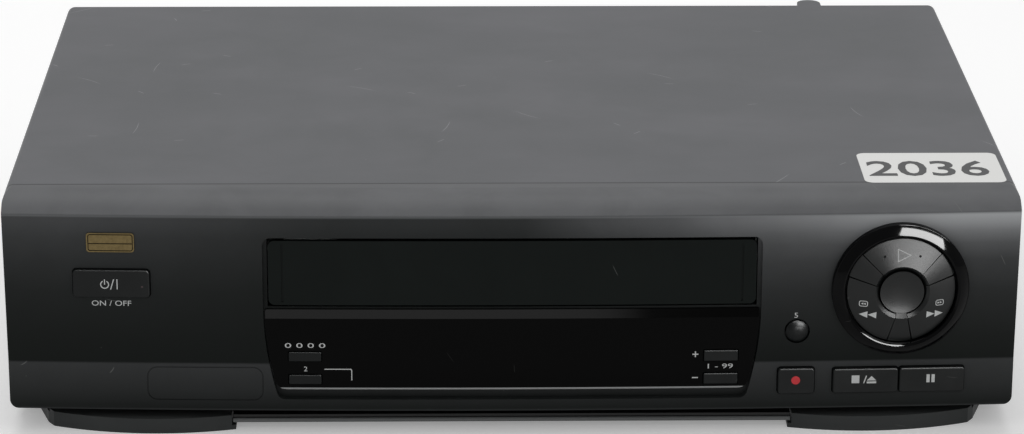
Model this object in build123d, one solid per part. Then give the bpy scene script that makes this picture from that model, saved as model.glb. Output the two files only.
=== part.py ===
from build123d import *
from math import asin, cos, degrees, pi, radians, sin, sqrt, tan
import os

# Front-loading video cassette recorder, in millimetres.
# It is drawn with y = 0 on the two outer corners of the front face, +Y to the rear and z = 0 on the
# floor, and is saved with the middle of its footprint on the origin.

# ---- casing ----
body_width = 400.0
body_height = 97.3
sheet = 1.0
corner_radius = 3.5
seam_y = 16.0
cover_rear_y = 277.0
cover_bottom_z = 10.0
rear_lip_drop = 8.0
rear_lip_width = 5.0
tab_side = 58.2
tab_width = 10.65
tab_reach = 6.5
fit_gap = 0.3
running_gap = 0.05
screw_side, screw_drop = 20.0, 5.0
screw_head_radius, screw_head_height = 3.2, 1.8
screw_shank_radius, screw_shank_depth = 1.5, 4.0
half_width = body_width / 2

# ---- front panel ----
bulge = 5.0
panel_wall = 2.5
panel_bottom_z = 9.7
shoulder_radius = 23.0
band_top_z = 28.9
band_lean = 1.3
side_taper = 0.6
recess_top_z = 81.7
recess_bottom_z = 14.3
recess_half_top = 98.2
recess_draw = 5.7
recess_knee_z = 52.0
recess_corner = 3.5
recess_depth = 2.5
tray_wall = 2.5
groove_width = 0.5
groove_depth = 0.35
blank_width, blank_corner = 46.1, 4.0
blank_z0, blank_z1 = 13.8, 27.7
blank_x1 = -recess_half_top - fit_gap
blank_x0 = blank_x1 - blank_width
panel_span = half_width - recess_half_top

# ---- flap and window ----
flap_side_gap = 2.2
flap_half_width = recess_half_top - flap_side_gap
flap_bottom_z, flap_top_z = 53.5, 80.2
flap_thickness = 2.2
flap_depth = 0.9
flap_corner = 2.5
flap_slot_gap = 0.5
flap_swing_room = 1.2
flap_rib_x = flap_half_width - 5.5
flap_rib_width, flap_rib_depth = 0.8, 0.5
flap_rib_bottom, flap_rib_top = 1.2, 1.6
hinge_y, hinge_z = 3.0, 86.8
hinge_pin_radius = 1.25
hinge_boss_radius = 3.2
arm_width = 3.0
arm_x = flap_half_width - 4.5
arm_drop, arm_low = 12.0, 4.0
ear_width = 2.0
spring_wire = 0.5
window_bottom_z, window_top_z = 17.9, 51.4
window_gap = 0.7
window_corner = 5.0
window_edge = 0.5
window_depth = 0.3
window_bevel_drop = 3.4
window_bevel_depth = 1.3
display_half_width = 66.0
display_bottom_z, display_top_z = 22.0, 47.0

# ---- buttons: name, x, z, width, height, how far it stands proud, corner radius ----
def beside(share):
    """A place to the right of the recess, as a share of the panel's width there."""
    return recess_half_top + share * panel_span


power_side = 42.45
wide_button = 0.2564 * panel_span
plain_buttons = [
    ("power_button", power_side - half_width, 62.6, 30.3, 11.6, 1.6, 1.6),
    ("record_button", beside(0.141), 21.35, 0.1444 * panel_span, 10.9, 2.2, 1.4),
    ("stop_eject_button", beside(0.4121), 21.2, wide_button, 10.4, 2.4, 1.2),
    ("pause_button", beside(0.6724), 21.2, wide_button, 10.4, 2.4, 1.2),
]
left_keys_x, right_keys_x = 16.2 - recess_half_top, recess_half_top - 15.6
window_buttons = [
    ("counter_reset_button", left_keys_x, 32.1, 13.0, 4.0, 0.5, 0.5),
    ("record_link_button", left_keys_x, 22.4, 13.0, 4.0, 0.5, 0.5),
    ("channel_up_button", right_keys_x, 32.0, 13.6, 4.6, 0.5, 0.5),
    ("channel_down_button", right_keys_x, 22.3, 13.6, 4.6, 0.5, 0.5),
]
button_travel = 1.2
button_gap = 0.3
button_edge = 0.6
flange_lip = 1.0
flange_thickness = 1.0
stem_radius = 1.5
display_button_x, display_button_z = beside(0.1415), 41.9
display_button_radius = 4.4
display_button_gap = 0.7
display_button_dome = 1.6
panel_hole_depth, window_hole_depth = 9.0, 8.0

# ---- play dial ----
dial_x, dial_z = beside(0.537), 59.75
dial_radius = 0.267 * panel_span
dial_ring_width = 5.5
dial_opening = dial_radius - dial_ring_width
dial_crest_inset, dial_crest = 3.9, 5.3
dial_wall_height, dial_wall_round = 3.0, 0.5
dial_lip = 4.0
dial_outer_height, dial_inner_height = 3.2, 6.7
dial_disc_radius = 0.4 * dial_opening
dial_disc_height, dial_dish_depth = 6.0, 1.0
dial_bevel_radius = 0.5 * dial_opening
dial_button_inner = dial_disc_radius + 0.7
dial_bevel_drop = 1.3
dial_cut = 0.5
dial_floor = 6.0
dial_floor_wall = 1.5
dial_seat_margin = 2.0
dial_sectors = {
    "play_button": (43.0, 137.0),
    "rewind_button": (163.5, 257.5),
    "forward_button": (282.5, 376.5),
}
dial_wedges = [(16.5, 43.0), (137.0, 163.5), (257.5, 282.5)]

# ---- front circuit board ----
board_y = 14.0
board_thickness = 1.6
board_bottom_z, board_mid_z, board_top_z = 13.5, 50.0, 86.0
board_half_width = half_width - 8.0
board_notch_half = recess_half_top + 2.8
post_radius_front = 3.0
tube_half_width, tube_depth = 48.0, 6.0
tube_bottom_z, tube_top_z = 23.0, 46.0
badge_width, badge_height, badge_thickness, badge_corner = 18.8, 7.9, 0.5, 1.2
badge_z = 79.45
switch_size = 6.0
switch_height = 3.5
plunger_radius = 1.7
plunger_height = 0.6

# ---- base ----
pan_z = 4.9
pan_front_y = 6.5
pan_side_z = 24.0
pan_hem = 0.9
pan_lip_x, pan_lip_y, pan_lip_z = half_width - 88.9, 0.0, 2.9
pan_bead_z, pan_bead = 4.1, 0.8
pan_corner_x, pan_corner_y = half_width - 16.5, seam_y
foot_outer_x, foot_mid_x, foot_inner_x = half_width - 17.2, half_width - 57.5, half_width - 90.0
foot_outer_y, foot_mid_y, foot_inner_y = 3.4, -5.2, -1.0
foot_side_x, foot_side_y = half_width - 14.6, 7.5
foot_back_x = half_width - 9.8
foot_toe, foot_toe_z = 1.6, 1.8
foot_rim_z = 6.2
foot_depth = 22.5
rear_foot_radius = 9.0
rear_foot_x, rear_foot_y = half_width - 35.0, 245.0
vent_length, vent_width, vent_pitch = 26.0, 3.0, 9.0
vent_rows, vent_columns, vent_row_pitch = 4, 9, 40.0
vent_side, vent_front_y = 30.0, 60.0
rear_vent_length, rear_vent_width, rear_vent_pitch = 34.0, 2.4, 6.0
rear_vent_side, rear_vent_z = 75.0, 62.0
rear_plate = 1.2
pcb_z, pcb_thickness = 9.0, 1.6
pcb_side, pcb_right_x = 14.0, 110.0
pcb_front_y, pcb_rear_y = 24.0, 268.0
pcb_post_radius = 3.0

# ---- tape deck ----
deck_half_width = 112.0
deck_front_y, deck_rear_y = 24.0, 240.0
deck_z, deck_thickness = 26.0, 1.5
deck_post_inset, deck_post_width, deck_post_depth = 6.0, 8.0, 3.0
front_y_inset = 4.0
cassette_half_width = 94.5
holder_front_y, holder_rear_y = 104.0, 154.0
holder_floor_z, holder_height = 53.7, 26.0
lift_travel, lower_travel = 66.0, 22.0
pin_radius, slot_gap = 1.5, 0.3
pin_front = (110.0, 62.0)
pin_rear = (146.0, 74.0)
stud_ys, stud_z = (112.0, 148.0), 34.0
slider_x, slider_thickness = 96.5, 1.5
bracket_x, bracket_thickness = 98.6, 1.2
bracket_front_y, bracket_rear_y, bracket_top_z = 36.0, 176.0, 84.0

# ---- lift gearing ----
gear_module = 1.0
pressure_angle = 20.0
addendum, dedendum = 0.8, 1.0
backlash = 0.16
shaft_radius = 2.5
shaft_y, shaft_z = 100.0, 87.0
pinion_teeth, loading_teeth, motor_teeth = 14, 36, 12
rack_teeth = 25
loading_direction, motor_direction = -48.0, -80.0
gear_x, gear_width = 101.0, 4.0
loading_stud_radius = 2.0
motor_radius, motor_length = 12.0, 28.0

# ---- tape path ----
drum_radius, drum_y, drum_tilt = 31.0, 201.0, 5.5
drum_base_z, drum_split_z, drum_top_z = 29.5, 44.0, 61.0
drum_shaft_radius = 3.0
reel_x, reel_y = 46.2, 95.0
reel_radius, reel_base_z, reel_top_z = 19.0, 31.0, 43.0
spindle_radius, reel_post_radius = 8.5, 2.0
capstan_x, capstan_y = 60.0, 160.0
capstan_radius, capstan_top_z = 2.5, 62.0
flywheel_radius, flywheel_z0, flywheel_z1 = 24.0, 12.5, 17.5
pinch_pivot = (84.0, 172.0)
pinch_arm_length, pinch_rest_angle = 20.0, 165.9
pinch_radius = 6.5
tension_pivot = (-72.0, 168.0)
tension_arm_length, tension_rest_angle = 26.0, -48.0
guide_start, guide_end = (30.0, 146.0), (43.0, 190.0)
guide_block, guide_top_z = 11.0, 55.5
arm_z, arm_thickness = 29.0, 2.0
post_radius = 2.0
audio_head = (51.0, 172.0, 8.0, 8.0, 28.0)
erase_head = (-58.0, 186.0, 9.0, 9.0, 26.0)

# ---- rear connectors ----
rear_y = cover_rear_y - sheet - rear_plate
tuner_x0, tuner_x1, tuner_y0 = half_width - 82.0, half_width - 28.0, 205.0
tuner_foot_inset = 4.0
tuner_z0, tuner_z1 = 12.0, 64.0
coax_x, coax_zs = half_width - 42.0, (26.0, 50.0)
coax_radius, coax_bore, coax_reach = 4.75, 4.0, 8.5
coax_collar_radius, coax_collar = 6.0, 1.0
coax_neck_radius, coax_neck = 4.5, 0.5
coax_pin_radius = 1.15
scart_xs, scart_z = (40.0, -30.0), 58.0
scart_width, scart_height, scart_corner = 48.0, 15.0, 6.0
scart_reach, scart_back, scart_wall = 4.0, 16.0, 1.5
inlet_x, inlet_z = 40.0 - half_width, 30.0
inlet_width, inlet_height, inlet_back = 25.0, 17.0, 22.0
inlet_cavity_w, inlet_cavity_h, inlet_cavity_d = 15.8, 8.4, 13.0
inlet_pin_pitch, inlet_pin_radius = 8.6, 1.2

# ---- electrics ----
supply_x = 48.0 - half_width
core_half_x, core_y0, core_y1, core_top_z = 26.0, 180.0, 224.0, 52.0
winding_half_x, winding_y0, winding_y1 = 18.0, 172.0, 232.0
winding_z0, winding_z1, winding_corner = 16.0, 46.0, 4.0
capacitors = [(-18.0, 150.0, 9.0, 35.0), (4.0, 150.0, 9.0, 35.0), (-20.0, 120.0, 6.5, 25.0),
              (0.0, 120.0, 6.5, 25.0), (20.0, 128.0, 5.0, 16.0)]
sink_x0, sink_width, sink_y, sink_top_z = supply_x - 30.0, 52.0, 92.0, 48.0
fin_count, fin_width, fin_depth, sink_plate = 9, 1.2, 10.0, 2.0

plan_radius = (half_width**2 + bulge**2) / (2 * bulge)
plan_centre_y = plan_radius - bulge
hole_radius = hinge_pin_radius + running_gap
parts = {}


# ---- helpers ----
def block(x0, x1, y0, y1, z0, z1):
    """A box between two corners."""
    middle = Pos((x0 + x1) / 2, (y0 + y1) / 2, (z0 + z1) / 2)
    return middle * Box(abs(x1 - x0), abs(y1 - y0), abs(z1 - z0))


def upright(x, y, z0, z1, radius):
    """A round bar along Z."""
    return Pos(x, y, (z0 + z1) / 2) * Cylinder(radius, z1 - z0)


def cross_bar(x0, x1, y, z, radius):
    """A round bar along X."""
    return Pos((x0 + x1) / 2, y, z) * Rot(0, 90, 0) * Cylinder(radius, x1 - x0)


def behind(outline, y0, y1):
    """Extrude a front-view (x, z) outline from y0 to y1."""
    return extrude(Pos(0, y0, 0) * (Plane.XZ * outline), amount=y1 - y0, dir=(0, 1, 0))


def sideways(outline, x0, x1):
    """Extrude a side-view (y, z) outline from x0 to x1."""
    return extrude(Pos(x0, 0, 0) * (Plane.YZ * outline), amount=x1 - x0, dir=(1, 0, 0))


def follow_face(outline):
    """Sweep a (depth, z) outline, drawn at the middle of the panel, along the panel's bow."""
    swing = 1.1 * degrees(asin(half_width / plan_radius))
    bow_axis = Axis((0, plan_centre_y, 0), (0, 0, 1))
    swept = revolve(Pos(0, -bulge, 0) * (Plane.YZ * outline), axis=bow_axis, revolution_arc=2 * swing)
    return swept.rotate(bow_axis, -swing)


def face_y(x):
    """Depth of the panel's bowed face at x."""
    return plan_centre_y - sqrt(plan_radius**2 - x**2)


def face_plane(x, z):
    """A local frame on the bowed face: x to the right, y up, z outwards."""
    normal = (x / plan_radius, -sqrt(1 - (x / plan_radius) ** 2), 0)
    return Plane(origin=(x, face_y(x), z), x_dir=(-normal[1], normal[0], 0), z_dir=normal)


def stem_end(x):
    """Local depth of a button's stem, clear of its switch when it is pressed."""
    return board_y - switch_height - plunger_height - fit_gap - button_travel - face_y(x)


def rounded(width, height, radius):
    return RectangleRounded(width, height, radius)


# ---- front panel ----
def shell_profile(inset):
    """The panel's side profile, drawn inside itself by a wall."""
    radius = shoulder_radius - inset
    centre_z = body_height - shoulder_radius
    top_z = centre_z + sqrt(radius**2 - (seam_y - inset) ** 2)
    turn = asin((seam_y - inset) / radius) / 2
    middle = (seam_y - radius * sin(turn), centre_z + radius * cos(turn))
    back = seam_y + 2 * bulge
    crest = (seam_y, body_height - inset)
    wire = [
        Line((back, crest[1]), crest),
        ThreePointArc(crest, middle, (inset, top_z)),
        Line((inset, top_z), (inset, band_top_z)),
        Line((inset, band_top_z), (inset - band_lean, panel_bottom_z + inset)),
        Line((inset - band_lean, panel_bottom_z + inset), (back, panel_bottom_z + inset)),
        Line((back, panel_bottom_z + inset), (back, crest[1])),
    ]
    return make_face(Wire(wire))


def front_outline(inset):
    """The panel's front outline, a little narrower at its foot."""
    top, low = half_width - inset, half_width - inset - side_taper
    low_z, top_z = panel_bottom_z + inset, body_height - inset
    shape = make_face(Polyline((-top, top_z), (top, top_z), (low, low_z), (-low, low_z), close=True))
    return fillet(shape.vertices(), max(corner_radius - inset, sheet))


def side_x(z):
    """Half-width of the recess: straight down to its knee, then an arc drawing in."""
    drop = recess_knee_z - recess_bottom_z
    draw = recess_draw
    radius = (drop**2 + draw**2) / (2 * draw)
    below = max(recess_knee_z - z, 0.0)
    return recess_half_top - radius + sqrt(radius**2 - below**2)


def bowed_outline(z0, z1, grow, top_radius, low_radius):
    """An outline between two heights whose sides follow the recess."""
    knee_z = min(recess_knee_z, z1)
    middle_z = (knee_z + z0) / 2
    edges = [Line((-side_x(z1) - grow, z1), (side_x(z1) + grow, z1)),
             Line((-side_x(z0) - grow, z0), (side_x(z0) + grow, z0))]
    for side in (1, -1):
        top, knee, middle, low = [(side * (side_x(z) + grow), z) for z in (z1, knee_z, middle_z, z0)]
        edges.append(ThreePointArc(knee, middle, low))
        if z1 > knee_z:
            edges.append(Line(top, knee))
    shape = make_face(Wire(edges))
    shape = fillet(shape.vertices().group_by(Axis.Y)[-1], top_radius)
    return fillet(shape.vertices().group_by(Axis.Y)[0], low_radius)


def depth_band(depth0, depth1, z0, z1):
    """A (depth, z) rectangle for follow_face."""
    return make_face(Polyline((depth0, z0), (depth1, z0), (depth1, z1), (depth0, z1), close=True))


def recess_outline(grow=0.0):
    return bowed_outline(recess_bottom_z - grow, recess_top_z + grow, grow,
                         recess_corner + grow, recess_corner + grow)


def window_outline():
    return bowed_outline(window_bottom_z, window_top_z, -window_gap, 0.8, window_corner)


def hinge_ears():
    """The two ears behind the panel that carry the flap's pins."""
    ears = []
    for side in (1, -1):
        inner = side * (arm_x + arm_width / 2 + 2 * spring_wire + fit_gap * 2)
        outer = inner + side * ear_width
        x0, x1 = min(inner, outer), max(inner, outer)
        root_y = face_y(inner) + recess_depth
        tip = hinge_y + hinge_boss_radius
        low, high = hinge_z - 1.7 * hinge_boss_radius, hinge_z + hinge_boss_radius
        plate = make_face(Polyline((root_y, low), (tip, low), (tip, high), (root_y, high), close=True))
        ear = sideways(fillet(plate.vertices().group_by(Axis.X)[-1], 2.0), x0, x1)
        ears.append(ear - cross_bar(x0 - 1, x1 + 1, hinge_y, hinge_z, hole_radius))
    return ears


def button_hole(x, z, width, height, radius, deep):
    """A hole through the panel, a gap larger than its button."""
    outline = rounded(width + 2 * button_gap, height + 2 * button_gap, radius + button_gap)
    return extrude(face_plane(x, z) * outline, amount=deep, both=True)


def front_panel():
    outer = follow_face(shell_profile(0)) & behind(front_outline(0), -20, seam_y)
    inner_half = half_width - panel_wall - side_taper
    room = block(-inner_half, inner_half, -20, 50, 0, 2 * body_height)
    inner = follow_face(shell_profile(panel_wall)) & room
    panel = outer - inner
    tray_depth = recess_depth + tray_wall
    tray = follow_face(depth_band(panel_wall / 2, tray_depth, recess_bottom_z - 2, recess_top_z + tray_wall))
    panel += tray & behind(recess_outline(tray_wall - 0.5), -20, seam_y)
    for ear in hinge_ears():
        panel += ear
    pocket = follow_face(depth_band(-5, recess_depth, 0, body_height))
    panel -= pocket & behind(recess_outline(), -20, seam_y)
    slot_low = flap_bottom_z - flap_swing_room
    slot_high = flap_top_z + flap_slot_gap
    slot_half = flap_half_width + flap_slot_gap
    panel -= block(-slot_half, slot_half, -20, seam_y, slot_low, slot_high)
    panel -= block(-display_half_width, display_half_width, -20, seam_y, display_bottom_z, display_top_z)
    for name, x, z, width, height, proud, radius in plain_buttons:
        panel -= button_hole(x, z, width, height, radius, panel_hole_depth)
    for name, x, z, width, height, proud, radius in window_buttons:
        panel -= button_hole(x, z, width, height, radius, window_hole_depth)
    spot = face_plane(display_button_x, display_button_z)
    panel -= spot * Cylinder(display_button_radius + display_button_gap, 20)
    panel -= face_plane(dial_x, dial_z) * Cylinder(dial_opening, 24)
    blank_height = blank_z1 - blank_z0
    frame = rounded(blank_width, blank_height, blank_corner)
    inside = rounded(blank_width - 2 * groove_width, blank_height - 2 * groove_width,
                     blank_corner - groove_width)
    ring = Pos((blank_x0 + blank_x1) / 2, (blank_z0 + blank_z1) / 2) * (frame - inside)
    panel -= behind(ring, -20, seam_y) & follow_face(groove_profile())
    for x, z in board_posts():
        root = face_y(x) + 1
        post = Rot(90, 0, 0) * Cylinder(post_radius_front, board_y - root)
        panel += Pos(x, (root + board_y) / 2, z) * post
    return panel


def groove_profile():
    """A thin layer of the lower band's face, as deep as the groove."""
    front = -band_lean - 3
    return make_face(Polyline(
        (front, band_top_z), (groove_depth, band_top_z),
        (groove_depth - band_lean, panel_bottom_z), (front, panel_bottom_z), close=True))


def board_posts():
    """Posts on the panel's back that carry the front board."""
    high = board_top_z - post_radius_front - 1
    low = board_bottom_z + post_radius_front + 1
    side = board_half_width - post_radius_front - 1
    spots = [(sign * side, z) for z in (low, high) for sign in (-1, 1)]
    return spots + [(-beside(0.077), high), (beside(0.165), high)]


# ---- flap and window ----
def cassette_flap():
    plate = follow_face(depth_band(flap_depth, flap_depth + flap_thickness, flap_bottom_z, flap_top_z))
    height = flap_top_z - flap_bottom_z
    outline = Pos(0, flap_bottom_z + height / 2) * rounded(2 * flap_half_width, height, flap_corner)
    plate = plate & behind(outline, -20, seam_y)
    for side in (1, -1):
        x = side * flap_rib_x
        front = face_y(x) + flap_depth
        plate -= block(x - flap_rib_width / 2, x + flap_rib_width / 2, front - 1, front + flap_rib_depth,
                       flap_bottom_z + flap_rib_bottom, flap_top_z - flap_rib_top)
        inner, outer = side * (arm_x - arm_width / 2), side * (arm_x + arm_width / 2)
        x0, x1 = min(inner, outer), max(inner, outer)
        back = face_y(inner) + flap_depth + flap_thickness - 0.3
        clear = face_y(inner) + recess_depth + tray_wall + 0.5
        arm = make_face(Polyline(
            (back, flap_top_z - arm_drop), (back, flap_top_z - 1), (clear, flap_top_z + 0.4),
            (clear, hinge_z), (hinge_y + hinge_boss_radius - 0.4, hinge_z),
            (hinge_y + hinge_boss_radius - 0.4, hinge_z - arm_low),
            (back + arm_width, flap_top_z - arm_drop), close=True))
        plate += sideways(arm, x0, x1)
        pin_end = side * (arm_x + arm_width / 2 + 2 * spring_wire + 2 * fit_gap + ear_width)
        plate += cross_bar(min(inner, pin_end), max(inner, pin_end), hinge_y, hinge_z, hinge_pin_radius)
    return plate


def flap_spring():
    """The closed coil round the left hinge pin."""
    x = -(arm_x + arm_width / 2 + fit_gap + spring_wire)
    turn = Pos(hinge_pin_radius + running_gap + spring_wire, 0) * Circle(spring_wire)
    coil = revolve(Plane.XZ * turn, axis=Axis.Z)
    return Pos(x, hinge_y, hinge_z) * Rot(0, 90, 0) * coil


def display_window():
    """The smoked lens, bevelled along its top and bright-edged along its bottom."""
    bevel_z = window_top_z - window_bevel_drop
    climb = window_bevel_drop / window_bevel_depth
    face = make_face(Polyline(
        (window_depth, bevel_z), (window_depth, panel_bottom_z), (recess_depth, panel_bottom_z),
        (recess_depth, bevel_z + climb * (recess_depth - window_depth)), close=True))
    lens = follow_face(face) & behind(window_outline(), -20, seam_y)
    low = window_bottom_z - window_edge
    wedge_face = make_face(Polyline(
        (window_depth + 2 * window_edge, low), (-window_edge, low),
        (-window_edge, window_bottom_z + 3 * window_edge), close=True))
    lens -= follow_face(wedge_face)
    for name, x, z, width, height, proud, radius in window_buttons:
        lens -= button_hole(x, z, width, height, radius, window_hole_depth)
    return lens


# ---- buttons ----
def plain_button(x, z, width, height, proud, radius, wall):
    """A cap with a retaining flange behind the wall and a stem towards its switch."""
    frame = face_plane(x, z)
    back = wall + fit_gap
    cap = extrude(rounded(width, height, radius), amount=proud + back)
    cap = Pos(0, 0, -back) * cap
    cap = fillet(cap.faces().sort_by(Axis.Z)[-1].edges(), min(button_edge, radius * 0.9))
    flange = rounded(width, height + 2 * flange_lip, radius)
    cap += Pos(0, 0, -back - flange_thickness) * extrude(flange, amount=flange_thickness)
    reach = stem_end(x) - back
    cap += Pos(0, 0, -back - reach / 2) * Cylinder(stem_radius, reach)
    return frame * cap


def display_button():
    frame = face_plane(display_button_x, display_button_z)
    back = panel_wall + fit_gap
    reach = stem_end(display_button_x)
    wide = display_button_radius + display_button_gap + flange_lip
    dome = ThreePointArc((0, display_button_dome), (display_button_radius * 0.62, display_button_dome * 0.72),
                         (display_button_radius, 0))
    sides = Polyline((display_button_radius, 0), (display_button_radius, -back), (wide, -back),
                     (wide, -back - flange_thickness), (stem_radius, -back - flange_thickness),
                     (stem_radius, -reach), (0, -reach), (0, display_button_dome))
    outline = make_face(Wire([dome] + sides.edges()))
    return frame * revolve(Plane.XZ * outline, axis=Axis.Z)


def wedge(angle0, angle1, inner, outer, low, high):
    """A sector of a ring, standing along the local z axis."""
    reach = outer * 2
    middle = (angle0 + angle1) / 2
    corners = [(0, 0)]
    for angle in (angle0, middle, angle1):
        corners.append((reach * cos(radians(angle)), reach * sin(radians(angle))))
    sector = extrude(make_face(Polyline(corners, close=True)), amount=high - low)
    ring = extrude(Circle(outer) - Circle(inner), amount=high - low)
    return Pos(0, 0, low) * (sector & ring)


def dome_height(radius):
    """How far the dial's cone stands off the face at a radius."""
    rise = (dial_inner_height - dial_outer_height) / (dial_opening - dial_bevel_radius)
    return dial_inner_height - rise * (radius - dial_bevel_radius)


def dome_slice(angle0, angle1, inner, outer, low, drop):
    """A sector under the dial's cone, bevelled towards its middle and cut off flat at low."""
    bevel = (inner, dial_inner_height - dial_bevel_drop - drop)
    section = make_face(Polyline(
        (inner, low), (outer, low), (outer, dome_height(outer) - drop),
        (dial_bevel_radius, dial_inner_height - drop), bevel, close=True))
    dome = revolve(Plane.XZ * section, axis=Axis.Z)
    return wedge(angle0, angle1, inner, outer, low, dial_inner_height) & dome


def stem_place(angle0, angle1):
    """Where a dial button's stem stands, from the dial's middle."""
    middle = radians((angle0 + angle1) / 2)
    radius = (dial_button_inner + dial_opening) / 2
    return radius * cos(middle), radius * sin(middle)


def dial_button(angle0, angle1):
    margin = degrees(dial_cut / dial_opening)
    low = button_travel + fit_gap - dial_floor
    body = dome_slice(angle0 + margin, angle1 - margin, dial_button_inner, dial_opening - fit_gap, low, 0)
    x, y = stem_place(angle0, angle1)
    reach = stem_end(dial_x + x)
    length = reach + low
    body += Pos(x, y, low - length / 2) * Cylinder(stem_radius, length)
    return face_plane(dial_x, dial_z) * body


def dial_ring():
    """The gloss ring: a low wall outside, a wide slope up to its crest and a rounded inner lip."""
    inner = dial_opening + running_gap * 4
    lip = (inner, dial_lip)
    crest = (dial_radius - dial_crest_inset, dial_crest)
    slope_foot = (dial_radius - dial_wall_round, dial_wall_height)
    wall_top = (dial_radius, dial_wall_height - dial_wall_round)
    lip_middle = ((lip[0] + crest[0]) / 2, (lip[1] + crest[1]) / 2 + 0.25)
    slope_middle = ((crest[0] + slope_foot[0]) / 2, (crest[1] + slope_foot[1]) / 2 + 0.15)
    round_off = (1 - sqrt(0.5)) * dial_wall_round
    section = make_face(Wire([
        Line((inner, -0.2), lip),
        ThreePointArc(lip, lip_middle, crest),
        ThreePointArc(crest, slope_middle, slope_foot),
        ThreePointArc(slope_foot, (dial_radius - round_off, dial_wall_height - round_off), wall_top),
        Line(wall_top, (dial_radius, -0.2)),
        Line((dial_radius, -0.2), (inner, -0.2)),
    ]))
    ring = face_plane(dial_x, dial_z) * revolve(Plane.XZ * section, axis=Axis.Z)
    return ring - follow_face(depth_band(0, 3, 0, body_height))


def dial_hub():
    """The fixed cup behind the dial, with its dished disc, two side wedges and the stem."""
    rim = dial_opening + dial_seat_margin
    seat = -panel_wall - 0.4
    hub = Pos(0, 0, -dial_floor - dial_floor_wall / 2) * Cylinder(rim, dial_floor_wall)
    wall = extrude(Circle(rim) - Circle(dial_opening + running_gap * 4), amount=seat + dial_floor)
    hub += Pos(0, 0, -dial_floor) * wall
    outer = dial_opening - running_gap * 2
    for angle0, angle1 in dial_wedges:
        inner = dial_disc_radius - 1 if angle0 > 180 else dial_button_inner
        hub += dome_slice(angle0, angle1, inner, outer, -dial_floor, fit_gap)
    disc = Pos(0, 0, (dial_disc_height - dial_floor) / 2) * Cylinder(
        dial_disc_radius, dial_disc_height + dial_floor)
    dish_radius = (dial_disc_radius**2 + dial_dish_depth**2) / (2 * dial_dish_depth)
    dish = Pos(0, 0, dial_disc_height - dial_dish_depth + dish_radius) * Sphere(dish_radius)
    hub += disc
    hub -= dish
    for angle0, angle1 in dial_sectors.values():
        x, y = stem_place(angle0, angle1)
        hub -= Pos(x, y, -dial_floor) * Cylinder(stem_radius + fit_gap, 3 * dial_floor_wall)
    return face_plane(dial_x, dial_z) * hub


def switch_spots():
    """Where each button's stem points."""
    spots = [(x, z) for name, x, z, *rest in plain_buttons + window_buttons]
    spots.append((display_button_x, display_button_z))
    for angle0, angle1 in dial_sectors.values():
        x, z = stem_place(angle0, angle1)
        spots.append((dial_x + x, dial_z + z))
    return spots


def tact_switches():
    switches = []
    for x, z in switch_spots():
        half = switch_size / 2
        body = block(x - half, x + half, board_y - switch_height, board_y, z - half, z + half)
        tip = board_y - switch_height - plunger_height / 2
        body += Pos(x, tip, z) * Rot(90, 0, 0) * Cylinder(plunger_radius, plunger_height)
        switches.append(body)
    return Compound(switches)


def front_board():
    back = board_y + board_thickness
    board = block(-board_half_width, board_half_width, board_y, back, board_bottom_z, board_mid_z)
    for side in (1, -1):
        board += block(side * board_notch_half, side * board_half_width, board_y, back,
                       board_mid_z - 1, board_top_z)
    return board


def display_tube():
    """The flat glass display, sealed on the front board."""
    glass = block(-tube_half_width, tube_half_width, board_y - tube_depth, board_y,
                  tube_bottom_z, tube_top_z)
    return chamfer(glass.faces().sort_by(Axis.Y)[0].edges(), 1.0)


def badge_plate():
    plate = extrude(rounded(badge_width, badge_height, badge_corner), amount=badge_thickness)
    return face_plane(power_side - half_width, badge_z) * plate


# ---- casing ----
def cover_outline(inset):
    top, side = body_height - inset, half_width - inset
    shape = make_face(Polyline((-side, cover_bottom_z), (-side, top), (side, top), (side, cover_bottom_z),
                               close=True))
    return fillet(shape.vertices().group_by(Axis.Y)[-1], corner_radius - inset)


def top_cover():
    outer = behind(cover_outline(0), seam_y, cover_rear_y)
    outer = fillet(outer.edges().filter_by(Axis.Z).group_by(Axis.Y)[-1], corner_radius)
    inner = behind(cover_outline(sheet), seam_y - 1, cover_rear_y - sheet)
    inner = fillet(inner.edges().filter_by(Axis.Z).group_by(Axis.Y)[-1], corner_radius - sheet)
    cover = outer - inner
    cover -= block(-half_width + sheet, half_width - sheet, seam_y, cover_rear_y - 2 * sheet,
                   cover_bottom_z - 1, cover_bottom_z + 2)
    opening = half_width - rear_lip_width
    cover -= block(-opening, opening, cover_rear_y - 2 * sheet, cover_rear_y + 1,
                   cover_bottom_z - 1, body_height - rear_lip_drop)
    tab = extrude(SlotOverall(2 * tab_reach, tab_width, rotation=90), amount=sheet)
    tab_x = half_width - tab_side
    tab = Pos(tab_x, cover_rear_y, body_height - sheet) * tab
    tab = tab & block(tab_x - tab_width, tab_x + tab_width, cover_rear_y,
                      cover_rear_y + tab_reach, 0, body_height)
    tab += block(tab_x - tab_width / 2, tab_x + tab_width / 2, cover_rear_y - corner_radius,
                 cover_rear_y, body_height - sheet, body_height)
    return cover + tab - screw_holes()


def screw_places():
    side = half_width - screw_side
    return [(x, body_height - screw_drop) for x in (-side, 0, side)]


def screw_holes():
    """Clearance holes for the cover's screws."""
    holes = []
    for x, z in screw_places():
        hole = Cylinder(screw_shank_radius + running_gap, 4 * screw_shank_depth)
        holes.append(Pos(x, rear_y, z) * Rot(90, 0, 0) * hole)
    return holes


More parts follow.
